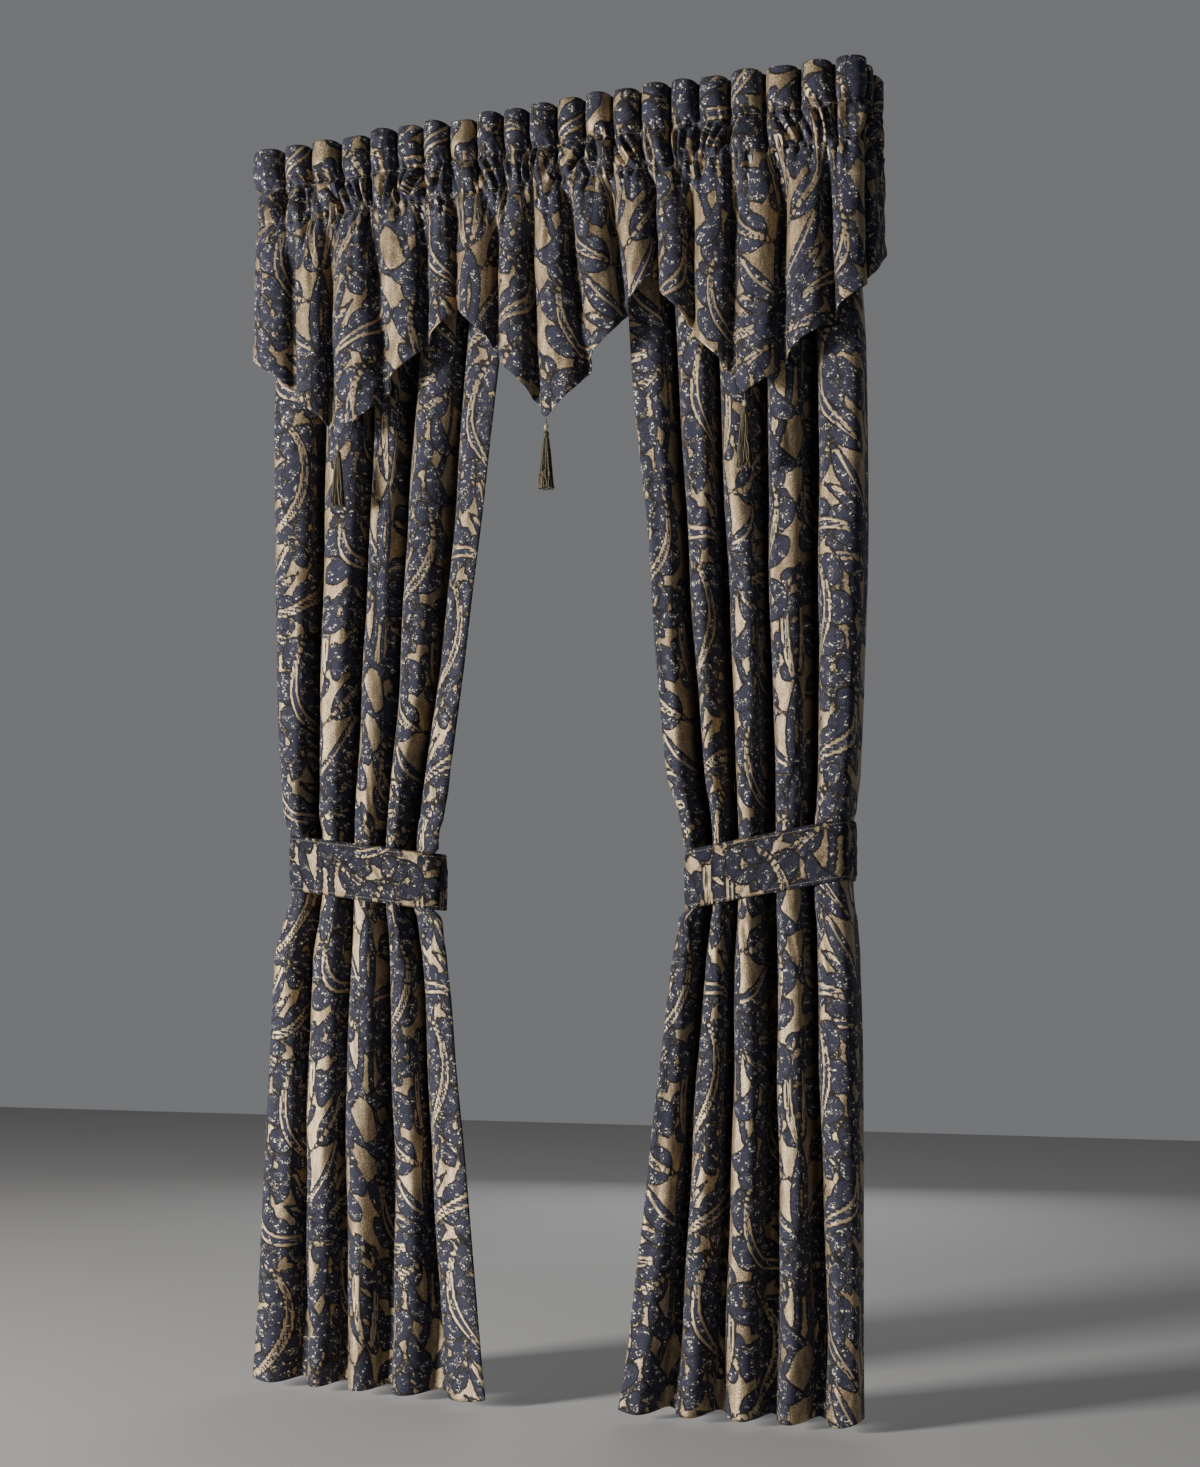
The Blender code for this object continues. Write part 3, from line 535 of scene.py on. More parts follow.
def turned_lines(count, first, last):
    """Numbers of a sheet's lines with the first and the last ones turned back, and 1 for those
    that lie behind."""
    front = np.arange(count)
    lines = np.concatenate([front[first::-1], front, front[:-last - 2:-1]])
    return lines, np.concatenate([np.ones(first + 1), np.zeros(count), np.ones(last + 1)])


def unfold(places, first, last):
    """Moves the turned-back lines' places on the flat cloth to beyond its first and last edge."""
    places[:first + 1] = 2 * places[first + 1] - places[:first + 1]
    places[-last - 1:] = 2 * places[-last - 2] - places[-last - 1:]


def turned_cloth(name, face, flat, turns, thickness, hollow):
    """A sheet of cloth whose edges are turned to its back. face is the grid of its front, flat the
    same grid on the flat cloth, and turns how many rows or columns are turned back at the top,
    bottom, left and right."""
    top, bottom, left, right = turns
    row, row_behind = turned_lines(face.shape[0], top, bottom)
    column, column_behind = turned_lines(face.shape[1], left, right)
    behind = np.maximum(row_behind[:, None], column_behind[None, :])
    normals = cloth_normals(face)
    points = face[row][:, column] - normals[row][:, column] * (behind * thickness)[:, :, None]
    across, up = np.moveaxis(flat[row][:, column], 2, 0)
    unfold(across.T, left, right)
    unfold(up, top, bottom)
    return grid_piece(name, points, across, up, hollow=hollow[row][:, column])


def grid_piece(name, points, across, up, closed=False, outward=1.0, hollow=None):
    """A piece from a grid of points, with its place on the flat cloth, the draft's value there and
    how far down in a hollow between two folds it lies, which the damask paints as shade.
    A closed one is a band whose columns run round it and whose ends are capped."""
    rows, columns = points.shape[:2]
    first = np.arange(columns if closed else columns - 1)
    starts = np.arange(rows - 1)[:, None] * columns
    a = (starts + first).reshape(-1)
    b = (starts + (first + 1) % columns).reshape(-1)
    faces = [tuple(quad) for quad in np.column_stack([a, a + columns, b + columns, b])]
    if closed:
        faces += [tuple(range(columns)), tuple(range((rows - 1) * columns, rows * columns))[::-1]]
    if outward < 0:
        faces = [face[::-1] for face in faces]
    piece = add_mesh(name, points.reshape(-1, 3), faces)
    mesh = piece.data
    corners = np.empty(len(mesh.loops), dtype=np.int32)
    mesh.loops.foreach_get("vertex_index", corners)
    flat = np.column_stack([across.reshape(-1), up.reshape(-1)])
    mesh.uv_layers.new(name="cloth").data.foreach_set("uv", flat[corners].reshape(-1).astype(np.float32))
    values = woven(flat[:, 0], flat[:, 1]).astype(np.float32)
    mesh.attributes.new("draft", "FLOAT", "POINT").data.foreach_set("value", values[:, 0])
    lines = mesh.attributes.new("lines", "FLOAT_VECTOR", "POINT").data
    lines.foreach_set("vector", values[:, 1:].reshape(-1))
    # How deep in a hollow each point lies, where the damask paints shade.
    if hollow is not None:
        shade = hollow.reshape(-1).astype(np.float32)
        mesh.attributes.new("hollow", "FLOAT", "POINT").data.foreach_set("value", shade)
    return piece


HALF_FRONT = 0.548
CORNER_RADIUS = 0.035
RETURN_Y = 0.105
HEADER_LINE = 0.064
POCKET_LINE = 0.124
SKIRT_DROP = 0.40
TROUGH_INSET = 0.008
ROD_ROOM = 0.0102
END_EASE = 0.050
VALANCE_CLOTH = 0.0016
# How many rows or columns are turned back at the top, bottom, left and right.
VALANCE_TURNS = (20, 6, 6, 6)
HEADER_ROWS, SKIRT_ROWS = 44, 76
# Where down the cloth the header's flutes give way to the skirt's folds, and the share of the drop
# at which those begin to turn into the hem's.
BLEND_START, BLEND_END = 0.080, 0.205
HEM_START = 0.35
FOLD_SQUARE = 2.4
FOLD_ROUND = 0.56
HOLLOW_DEEP = 0.25
FLUTE_GAP = 0.065
FLUTE_STEEP = 0.6
SKIRT_GAP = 0.100
SKIRT_STEEP = 0.45
HEM_HOLLOWS = 0.80
FLUTE_DEPTH = 0.030
FLUTE_LIVELY = 0.10
RETURN_FLUTES = 2
RETURN_FLUTE_DEPTH = 0.008
RETURN_DEPTH = 0.016
USUAL_SKIRT_DEPTH = 0.034
# The columns are counted in steps: flutes of 5, and the skirt's folds of 7 with returns of 10.
FLUTE_STEPS = 5
SKIRT_STEPS = 7
RETURN_STEPS = 10
COLUMNS_A_FLUTE = 26
FLUTE_EDGES = (-0.575, -0.496, -0.442, -0.385, -0.329, -0.276, -0.226, -0.177, -0.126, -0.077, -0.030,
               0.020, 0.070, 0.119, 0.169, 0.220, 0.268, 0.321, 0.379, 0.438, 0.494, 0.548)
SKIRT_EDGES = (-0.600, -0.479, -0.407, -0.317, -0.222, -0.168, -0.090, -0.026, 0.047, 0.120, 0.191,
               0.255, 0.327, 0.410, 0.485, 0.548)
HEM_EDGES = (-0.600, -0.474, -0.404, -0.296, -0.219, -0.164, -0.088, -0.014, 0.077, 0.143, 0.199,
             0.258, 0.326, 0.410, 0.494, 0.548)
SKIRT_DEPTHS = (0.030, 0.034, 0.036, 0.034, 0.024, 0.034, 0.036, 0.034, 0.036, 0.034, 0.034, 0.028,
                0.036, 0.036, 0.030)
FLUTE_TOPS = (0.002, 0.000, 0.000, -0.001, 0.005, 0.002, 0.004, -0.004, 0.003, 0.001, 0.002,
              0.004, 0.007, 0.003, 0.005, 0.005, -0.001, 0.003, 0.000, 0.000, -0.002)
HEM_ALONG = (-0.640, -0.552, -0.379, -0.157, 0.009, 0.193, 0.353, 0.552, 0.640)
HEM_HEIGHTS = (-0.270, -0.350, -0.522, -0.310, -0.524, -0.302, -0.519, -0.345, -0.270)
# How deep the header's and the skirt's folds run, from the top edge down to the hem.
DOWN = (0.000, 0.034, 0.056, 0.064, 0.075, 0.113, 0.124, 0.164, 0.264, 0.404, 0.524)
FLUTES_DEEP = (0.94, 1.00, 0.78, 0.34, 0.56, 0.54, 0.34, 0.30, 0.00, 0.00, 0.00)
SKIRT_DEEP = (0.00, 0.00, 0.00, 0.00, 0.00, 0.00, 0.10, 0.50, 0.90, 1.00, 1.08)
Gathers = namedtuple("Gathers", "pitch depth seed")
PINCHES = Gathers(0.0145, 0.0066, 1)
TUCKS = Gathers(0.0230, 0.0112, 2)
PLEATS = Gathers(0.0230, 0.0082, 3)
# How far gathers stray from an even pitch and how unlike in size they are, both along waves that
# are counted in pitches.
GATHER_STRAY, STRAY_WAVES = 0.35, (3.7, 7.3)
GATHER_SIZE, GATHER_UNLIKE, UNLIKE_WAVES = 0.75, 0.35, (2.3, 5.1)
HEADER_PINCH, POCKET_PINCH = 0.009, 0.010
PINCH_STRENGTH = 1.4
TUCK_REACH = 0.024
TUCK_LEAN, TUCK_LEAN_RATE = 0.55, 23.0
PLEAT_START, PLEAT_REACH = 0.008, 0.060
SKIRT_RIPPLE, SKIRT_RIPPLE_LENGTHS, SKIRT_RIPPLE_LEAN = 0.0016, (0.045, 0.083), 0.3
# How dark the shade painted in the creases between the gathers and in the hollows between the folds grows.
CREASE_SHADE_GAIN, CREASE_SHADE_START, CREASE_SHADE_DARKEST = 0.9, 0.10, 0.85
VALANCE_HOLLOW = 0.42
HOLLOW_EASE = 0.5
SHALLOWEST = 0.012


def plan_path(along):
    """Points and outward directions on the valance's plan line, at distances from its middle."""
    straight = HALF_FRONT - CORNER_RADIUS
    side = np.sign(along)
    past = np.abs(along) - straight
    angle = np.clip(past / CORNER_RADIUS, 0.0, pi / 2)
    back = np.maximum(past - CORNER_RADIUS * pi / 2, 0.0)
    x = side * (np.minimum(np.abs(along), straight) + CORNER_RADIUS * np.sin(angle))
    y = CORNER_RADIUS * (1.0 - np.cos(angle)) + back
    return x, y, side * np.sin(angle), -np.cos(angle)


PATH_END = HALF_FRONT - CORNER_RADIUS + CORNER_RADIUS * pi / 2 + RETURN_Y - CORNER_RADIUS


def fold(share, before, after, square=FOLD_SQUARE, rounding=FOLD_ROUND):
    """How far forward a round fold stands at a share of its width: 1 in its middle, and down to 0
    in the middle of the hollows on both sides, which take the shares before and after it."""
    inner = np.clip((share - before) / (1.0 - before - after), 0.0, 1.0)
    crest = (1.0 - np.abs(2.0 * inner - 1.0) ** square) ** rounding
    hollow = np.minimum(share / np.maximum(before, 0.001), (1.0 - share) / np.maximum(after, 0.001))
    hollow = (1.0 - np.clip(hollow, 0.0, 1.0) ** square) ** rounding
    return HOLLOW_DEEP * (1.0 - hollow) + (1.0 - HOLLOW_DEEP) * crest


def even_share(step, gap, steepness):
    """Shares of a fold's width that lie evenly along its cloth, for steps from 0 to 1."""
    fine = np.linspace(0.0, 1.0, 600)
    rise = fold(fine, gap, gap) * steepness
    length = np.concatenate([[0.0], np.cumsum(np.hypot(np.diff(fine), np.diff(rise)))])
    return np.interp(step * length[-1], length, fine)


def header_folds(column):
    """Distance along the path and fold depth of the header at each column."""
    left = np.linspace(-PATH_END, FLUTE_EDGES[0], RETURN_FLUTES + 1)[:-1]
    right = np.linspace(FLUTE_EDGES[-1], PATH_END, RETURN_FLUTES + 1)[1:]
    edges = np.concatenate([left, FLUTE_EDGES, right])
    lively = 1.0 + FLUTE_LIVELY * np.random.default_rng(4).uniform(-1.0, 1.0, len(FLUTE_EDGES) - 1)
    on_return = [RETURN_FLUTE_DEPTH] * RETURN_FLUTES
    depths = np.concatenate([on_return, FLUTE_DEPTH * lively, on_return])
    n = np.minimum((column / FLUTE_STEPS).astype(int), len(depths) - 1)
    share = even_share(np.clip(column / FLUTE_STEPS - n, 0.0, 1.0), FLUTE_GAP, FLUTE_STEEP)
    return edges[n] + (edges[n + 1] - edges[n]) * share, depths[n] * fold(share, FLUTE_GAP, FLUTE_GAP)


def skirt_folds(column, edges, hollow_share):
    """Distance along the path and how far forward the skirt's folds stand at each column. The
    hollows between them have a share of their full depth."""
    ends = np.concatenate([[-PATH_END], edges, [PATH_END]])
    depths = np.array((RETURN_DEPTH,) + SKIRT_DEPTHS + (RETURN_DEPTH,))
    front = np.clip((column - RETURN_STEPS) / SKIRT_STEPS, 0, len(SKIRT_DEPTHS))
    past = column - RETURN_STEPS - SKIRT_STEPS * len(SKIRT_DEPTHS)
    n = np.where(column < RETURN_STEPS, 0, np.where(past >= 0, len(depths) - 1, 1 + front.astype(int)))
    n = np.minimum(n, len(depths) - 1)
    step = np.where(column < RETURN_STEPS, column / RETURN_STEPS, front - np.floor(front))
    step = np.where(past >= 0, np.clip(past / RETURN_STEPS, 0.0, 1.0), step)
    share = even_share(step, SKIRT_GAP, SKIRT_STEEP)
    stands = 1.0 - hollow_share * (1.0 - fold(share, SKIRT_GAP, SKIRT_GAP))
    return ends[n] + (ends[n + 1] - ends[n]) * share, depths[n] * stands


def puckers(along, gathers):
    """Small round gathers with sharp creases between them, about a pitch apart, from -1 to 1."""
    pitch = gathers.pitch
    stray = ripple(along, [pitch * wave for wave in STRAY_WAVES], gathers.seed)
    unlike = ripple(along, [pitch * wave for wave in UNLIKE_WAVES], gathers.seed + 40)
    drift = along + GATHER_STRAY * pitch * stray
    size = GATHER_SIZE + GATHER_UNLIKE * unlike
    return (2.0 * np.abs(np.sin(pi * drift / pitch)) ** 0.8 - 1.0) * size


def pinched_at(depth):
    """How near a depth lies to one of the two sewn lines, from 0 to 1."""
    return (np.exp(-((depth - HEADER_LINE) / HEADER_PINCH) ** 2)
            + np.exp(-((depth - POCKET_LINE) / POCKET_PINCH) ** 2))


def gathered(along, depth):
    """How far forward the gathers of the header and below it stand at a depth, and how dark the
    shade painted in the creases between them is."""
    at_lines = pinched_at(depth)
    between = np.exp(-((depth - (HEADER_LINE + POCKET_LINE) / 2) / TUCK_REACH) ** 4)
    past = depth - POCKET_LINE
    below = np.clip(past / PLEAT_START, 0.0, 1.0) * np.exp(-max(past, 0.0) / PLEAT_REACH)
    slant = along + TUCK_LEAN * (depth - HEADER_LINE) * np.sin(along * TUCK_LEAN_RATE + 1.0)
    pinches = at_lines * puckers(along, PINCHES)
    tucks = between * puckers(slant, TUCKS)
    pleats = below * puckers(along, PLEATS)
    crease_shade = np.clip(-CREASE_SHADE_GAIN * (pinches + tucks + pleats) - CREASE_SHADE_START, 0.0, CREASE_SHADE_DARKEST)
    return PINCHES.depth * pinches + TUCKS.depth * tucks + PLEATS.depth * pleats, crease_shade


def in_hollow(stands, start):
    """How deep in a hollow the cloth lies, from how far forward it stands: not at all from start up. It sets
    the painted shade.
    """
    return np.clip((start - stands) / HOLLOW_EASE, 0.0, 1.0)


def valance_face():
    """The valance's front: points from the top edge down, the same places on the flat cloth, and how
    much shade is painted on each, from how deep in a hollow or a crease it lies."""
    flutes = len(FLUTE_EDGES) - 1 + 2 * RETURN_FLUTES
    column = np.linspace(0.0, flutes * FLUTE_STEPS, flutes * COLUMNS_A_FLUTE + 1)
    header_along, header_forward = header_folds(column)
    skirt_along, skirt_forward = skirt_folds(column, SKIRT_EDGES, 1.0)
    hem_along, hem_forward = skirt_folds(column, HEM_EDGES, HEM_HOLLOWS)
    middles = [(a + b) / 2 for a, b in zip(FLUTE_EDGES, FLUTE_EDGES[1:])]
    tops = np.interp(header_along, middles, FLUTE_TOPS)
    depths = np.concatenate([np.linspace(0.0, POCKET_LINE, HEADER_ROWS),
                             POCKET_LINE + SKIRT_DROP * np.linspace(0.0, 1.0, SKIRT_ROWS)[1:]])
    drops = np.maximum(0.0, (depths - POCKET_LINE) / SKIRT_DROP)
    flute_share = flowing(DOWN, FLUTES_DEEP, depths)
    skirt_share = flowing(DOWN, SKIRT_DEEP, depths)
    lines, painted_shade_rows = [], []
    for depth, drop, flute, skirt in zip(depths, drops, flute_share, skirt_share):
        blend = float(np.clip((depth - BLEND_START) / (BLEND_END - BLEND_START), 0.0, 1.0))
        blend = blend * blend * (3 - 2 * blend)
        lower = max(0.0, (drop - HEM_START) / (1.0 - HEM_START))
        along = header_along * (1 - blend) + (skirt_along * (1 - lower) + hem_along * lower) * blend
        x, y, out_x, out_y = plan_path(along)
        inset = TROUGH_INSET * np.clip((PATH_END - np.abs(along)) / END_EASE, 0.0, 1.0)
        pucker, crease_shade = gathered(along, depth)
        rippled = ripple(along + SKIRT_RIPPLE_LEAN * depth, SKIRT_RIPPLE_LENGTHS, 5)
        pucker = pucker + SKIRT_RIPPLE * min(drop * 4, 1.0) * rippled
        pinched = header_forward * (header_forward / FLUTE_DEPTH) ** (PINCH_STRENGTH * pinched_at(depth))
        hung = skirt_forward * (1 - lower) + hem_forward * lower
        forward = np.maximum(pinched * flute + hung * skirt - inset + pucker, -ROD_ROOM)
        lines.append((x + out_x * forward, y + out_y * forward))
        # Shade is painted in the hollows between the folds and in the creases between the gathers.
        stands = (forward + inset) / np.maximum(FLUTE_DEPTH * flute + USUAL_SKIRT_DEPTH * skirt, SHALLOWEST)
        painted_shade_rows.append(np.maximum(in_hollow(stands, VALANCE_HOLLOW), crease_shade))
    x, y = np.moveaxis(np.array(lines), 1, 0)
    hem_line = np.column_stack(lines[-1])
    length = np.concatenate([[0.0], np.cumsum(np.linalg.norm(np.diff(hem_line, axis=0), axis=1))])
    hem = np.interp(length, np.interp(HEM_ALONG, hem_along, length), HEM_HEIGHTS)
    heights = []
    for depth, drop in zip(depths, drops):
        height = -min(depth, POCKET_LINE)
        heights.append(height + tops * max(0.0, 1.0 - depth / HEADER_LINE) + (hem - height) * drop)
    face = np.stack([x, y, np.array(heights)], axis=2)
    middle = face[len(depths) * 2 // 3, :, :2]
    across = np.concatenate([[0.0], np.cumsum(np.linalg.norm(np.diff(middle, axis=0), axis=1))])
    across -= np.interp(HEM_ALONG[len(HEM_ALONG) // 2], hem_along, across)
    flat = np.stack([np.broadcast_to(across, x.shape), face[:, :, 2]], axis=2)
    return face, flat, np.array(painted_shade_rows)


valance_front, valance_flat, valance_shade = valance_face()
valance = turned_cloth("valance_cloth", valance_front, valance_flat, VALANCE_TURNS, VALANCE_CLOTH,
                       valance_shade)
valance.data.materials.append(damask_finish)
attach(valance, "root")
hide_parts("valance")


# Valance pocket: below the header's top line the turned-back layer runs on as a loose strip that
# holds the rod, sewn to the cloth along two lines of small stitches.

POCKET_CHANNEL = 0.018
POCKET_EASE = 0.014
POCKET_SEAM = 0.0112
POCKET_CLOTH = 0.0012
POCKET_WAVE = 0.0015
POCKET_ROWS = 15


def thicken(piece, thickness):
    """Gives a sheet its thickness, towards its back."""
    thick = piece.modifiers.new("cloth", "SOLIDIFY")
    thick.thickness = thickness
    thick.offset = -1.0


def add_pocket(name, lines, along, levels):
    """A strip of cloth behind a sheet. lines is the strip's plan line and its outward direction,
    and levels are heights with how far back the strip stands there."""
    x, y, out_x, out_y = lines
    heights, backs = np.array(levels).T
    fine = np.linspace(heights[0], heights[-1], POCKET_ROWS)
    back = flowing(-heights, backs, -fine)
    loose = (back - back.min()) / np.ptp(back)
    back = back[:, None] + loose[:, None] * POCKET_WAVE * ripple(along, (0.071, 0.113), 8)[None, :]
    up = np.broadcast_to(fine[:, None], back.shape)
    points = np.stack([x - out_x * back, y - out_y * back, up], axis=2)
    strip = grid_piece(name, points[:, ::-1], np.broadcast_to(along[::-1], back.shape), up)
    thicken(strip, POCKET_CLOTH)
    strip.data.materials.append(damask_finish)
    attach(strip, "root")
    return strip


along = np.linspace(-PATH_END, PATH_END, 241)
valance_pocket = add_pocket(
    "valance_rod_pocket", plan_path(along), along,
    ((-HEADER_LINE, POCKET_SEAM), (-HEADER_LINE - POCKET_EASE, POCKET_SEAM + POCKET_CHANNEL),
     (-POCKET_LINE + POCKET_EASE, POCKET_SEAM + POCKET_CHANNEL), (-POCKET_LINE, POCKET_SEAM)))
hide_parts("valance_pocket_left", "valance_pocket_middle", "valance_pocket_right",
            "valance_pocket_return_left", "valance_pocket_return_right")

STITCH_PITCH = 0.0048
STITCH_LENGTH = 0.0030
THREAD_RADIUS = 0.00045
THREAD_SIDES = 5
THREAD_SUNK = 0.6
THREAD_DARK, THREAD_LIGHT = (0.16, 0.12, 0.07), (0.42, 0.33, 0.20)


def new_tree(name, start, end, sizes):
    """An empty tree that turns one shape into another, its input and output nodes, and the
    identifiers of its inputs for sizes."""
    tree = bpy.data.node_groups.new(name, "GeometryNodeTree")
    tree.interface.new_socket(start, in_out="INPUT", socket_type="NodeSocketGeometry")
    named = {label: tree.interface.new_socket(label, in_out="INPUT", socket_type=kind).identifier
             for label, kind in sizes}
    tree.interface.new_socket(end, in_out="OUTPUT", socket_type="NodeSocketGeometry")
    return tree, add_node(tree, "NodeGroupInput").outputs, add_node(tree, "NodeGroupOutput"), named


def round_tube(tree, curve, sides, radius):
    """A curve with a round section and closed ends."""
    section = add_node(tree, "GeometryNodeCurvePrimitiveCircle", {"Resolution": sides, "Radius": radius})
    shape = {"Curve": curve, "Profile Curve": section.outputs["Curve"], "Fill Caps": True}
    return add_node(tree, "GeometryNodeCurveToMesh", shape).outputs["Mesh"]


def finished(tree, made, shape, finish):
    """Ends a tree: its instances made real, and the finish put on them."""
    real = add_node(tree, "GeometryNodeRealizeInstances", {"Geometry": shape}).outputs["Geometry"]
    coloured = add_node(tree, "GeometryNodeSetMaterial", {"Geometry": real, "Material": finish})
    tree.links.new(coloured.outputs["Geometry"], made.inputs[0])


def stitch_tree(finish):
    """A row of stitches: short lengths of thread laid end to end along a line on the cloth."""
    sizes = [(label, "NodeSocketFloat") for label in ("Pitch", "Length", "Thread radius")]
    tree, given, made, named = new_tree("row of stitches", "Seam", "Stitches", sizes)
    seam = add_node(tree, "GeometryNodeMeshToCurve", {"Mesh": given["Seam"]}).outputs["Curve"]
    spaced = add_node(tree, "GeometryNodeResampleCurve", {"Curve": seam, "Length": given["Pitch"]},
                      mode="LENGTH").outputs["Curve"]
    thread = add_node(tree, "GeometryNodeCurvePrimitiveLine",
                      {"Direction": (0.0, 0.0, 1.0), "Length": given["Length"]}, mode="DIRECTION")
    stitch = round_tube(tree, thread.outputs["Curve"], THREAD_SIDES, given["Thread radius"])
    tangent = add_node(tree, "GeometryNodeInputTangent").outputs["Tangent"]
    turned = add_node(tree, "FunctionNodeAlignRotationToVector", {"Vector": tangent}, axis="Z")
    laid = add_node(tree, "GeometryNodeInstanceOnPoints",
                    {"Points": spaced, "Instance": stitch, "Rotation": turned.outputs["Rotation"]})
    finished(tree, made, laid.outputs["Instances"], finish)
    return tree, named


def made_real(piece, tree, sizes):
    """Runs a tree on a piece with the sizes given, by their inputs' identifiers, and keeps the result
    as the piece's plain mesh."""
    shaped = piece.modifiers.new("shape", "NODES")
    shaped.node_group = tree
    for label, size in sizes.items():
        shaped[label] = size
    result = bpy.data.meshes.new_from_object(piece.evaluated_get(bpy.context.evaluated_depsgraph_get()))
    piece.modifiers.clear()
    piece.data = result
    piece.data.shade_smooth()


def add_stitches(name, lines):
    """Stitches along one or more lines of points that lie just off the cloth."""
    starts = np.cumsum([0] + [len(line) for line in lines[:-1]])
    edges = [(s + n, s + n + 1) for s, line in zip(starts, lines) for n in range(len(line) - 1)]
    mesh = bpy.data.meshes.new(name)
    mesh.from_pydata([tuple(p) for p in np.vstack(lines)], edges, [])
    stitches = bpy.data.objects.new(name, mesh)
    bpy.context.collection.objects.link(stitches)
    made_real(stitches, STITCHES, {STITCH_SIZES["Pitch"]: STITCH_PITCH, STITCH_SIZES["Length"]: STITCH_LENGTH,
                                   STITCH_SIZES["Thread radius"]: THREAD_RADIUS})
    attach(stitches, "root")


thread_finish, tree, shader = new_finish("gold thread", 0.5, sheen=0.2)
place = add_node(tree, "ShaderNodeTexCoord").outputs["Object"]
twisted = mixed(tree, noise_of(tree, place, 900.0), THREAD_DARK, THREAD_LIGHT)
tree.links.new(twisted, shader.inputs["Base Color"])
STITCHES, STITCH_SIZES = stitch_tree(thread_finish)


def row_at(face, height):
    """The number of a sheet's row nearest a height."""
    return int(np.argmin(np.abs(face[:, :, 2].mean(axis=1) - height)))


lines = []
normals = cloth_normals(valance_front)
for height in (-HEADER_LINE, -POCKET_LINE):
    n = row_at(valance_front, height)
    lines.append(valance_front[n] + normals[n] * THREAD_RADIUS * THREAD_SUNK)
add_stitches("valance_stitches", lines)


# Valance lining: pale plain-woven cotton behind the skirt, from the pocket to just short of the hem.

LINING_BACK = 0.0023
LINING_CLOTH = 0.0007
LINING_RELIEF = 0.0002
LINING_SHADE = 0.25
COTTON_DARK, COTTON_LIGHT, COTTON_WARM = (0.50, 0.485, 0.46), (0.66, 0.645, 0.62), (0.55, 0.53, 0.49)

lining_finish, tree, shader = new_finish("lining cotton", 0.85, sheen=0.15, specular=0.2)
place = flat_place(tree)
warp = noise_of(tree, place, 900.0, 1.0, 0.5, (1.0, 0.15, 1.0))
weft = noise_of(tree, place, 900.0, 1.0, 0.5, (0.15, 1.0, 1.0))
weave = plus(tree, warp, weft)
cotton = mixed(tree, stepped(tree, weave, 0.7, 1.3), COTTON_DARK, COTTON_LIGHT)
cloudy = stepped(tree, noise_of(tree, place, 6.0), 0.3, 0.7, 0.0, LINING_SHADE)
tree.links.new(mixed(tree, cloudy, cotton, COTTON_WARM), shader.inputs["Base Color"])
raised(tree, shader, weave, LINING_RELIEF)


def add_lining(name, face, flat, rows, columns):
    """A lining behind part of a sheet: the slices say which rows and columns it covers."""
    back = face - cloth_normals(face) * LINING_BACK
    piece = grid_piece(name, back[rows, columns], flat[rows, columns, 0], flat[rows, columns, 1])
    thicken(piece, LINING_CLOTH)
    piece.data.materials.append(lining_finish)
    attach(piece, "root")
    return piece


valance_lining = add_lining("valance_lining_cloth", valance_front, valance_flat,
                            slice(row_at(valance_front, -POCKET_LINE) + 1, -2, 2), slice(4, -4, 2))
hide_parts("valance_lining")


# Panels: two curtain panels of the same damask, gathered on a rod behind the valance, pinched in
# by the tiebacks and spread again to the hem. Each is turned back at its sides and its hem.

PanelRow = namedtuple("PanelRow", "height edges front depth crown swing")
LEFT_ROWS = (
    PanelRow(-0.050, (-0.506, -0.415, -0.325, -0.234, -0.144, -0.053), 0.0325, 0.030, 0.000, 0.000),
    PanelRow(-0.120, (-0.508, -0.418, -0.328, -0.238, -0.149, -0.058), 0.0325, 0.030, 0.000, 0.000),
    PanelRow(-0.260, (-0.531, -0.439, -0.345, -0.261, -0.164, -0.075), 0.033, 0.042, 0.000, 0.000),
    PanelRow(-0.450, (-0.544, -0.453, -0.354, -0.280, -0.184, -0.099), 0.032, 0.050, 0.000, 0.000),
    PanelRow(-0.700, (-0.542, -0.460, -0.364, -0.292, -0.207, -0.132), 0.030, 0.058, 0.002, 0.000),
    PanelRow(-0.950, (-0.537, -0.464, -0.376, -0.304, -0.232, -0.163), 0.028, 0.064, 0.004, 0.000),
    PanelRow(-1.120, (-0.524, -0.465, -0.386, -0.316, -0.259, -0.186), 0.025, 0.066, 0.006, 0.000),
    PanelRow(-1.183, (-0.514, -0.460, -0.387, -0.319, -0.267, -0.196), 0.022, 0.066, 0.008, 0.000),
    PanelRow(-1.198, (-0.506, -0.456, -0.386, -0.320, -0.270, -0.204), 0.022, 0.066, 0.008, 0.000),
    PanelRow(-1.238, (-0.500, -0.454, -0.386, -0.322, -0.273, -0.214), 0.022, 0.066, 0.008, 0.000),
    PanelRow(-1.306, (-0.500, -0.454, -0.386, -0.322, -0.273, -0.214), 0.022, 0.066, 0.008, 0.000),
    PanelRow(-1.341, (-0.513, -0.459, -0.387, -0.321, -0.272, -0.214), 0.022, 0.066, 0.008, 0.000),
    PanelRow(-1.361, (-0.520, -0.462, -0.388, -0.319, -0.269, -0.203), 0.022, 0.066, 0.008, 0.000),
    PanelRow(-1.430, (-0.538, -0.474, -0.392, -0.317, -0.255, -0.187), 0.021, 0.064, 0.004, 0.003),
    PanelRow(-1.600, (-0.546, -0.477, -0.397, -0.314, -0.243, -0.164), 0.016, 0.060, 0.002, 0.010),
    PanelRow(-1.850, (-0.555, -0.476, -0.399, -0.309, -0.224, -0.128), 0.009, 0.054, 0.000, 0.020),
    PanelRow(-2.030, (-0.562, -0.477, -0.397, -0.307, -0.213, -0.107), 0.004, 0.050, 0.000, 0.028),
    PanelRow(-2.170, (-0.570, -0.479, -0.396, -0.305, -0.204, -0.087), 0.000, 0.046, 0.000, 0.036),
)
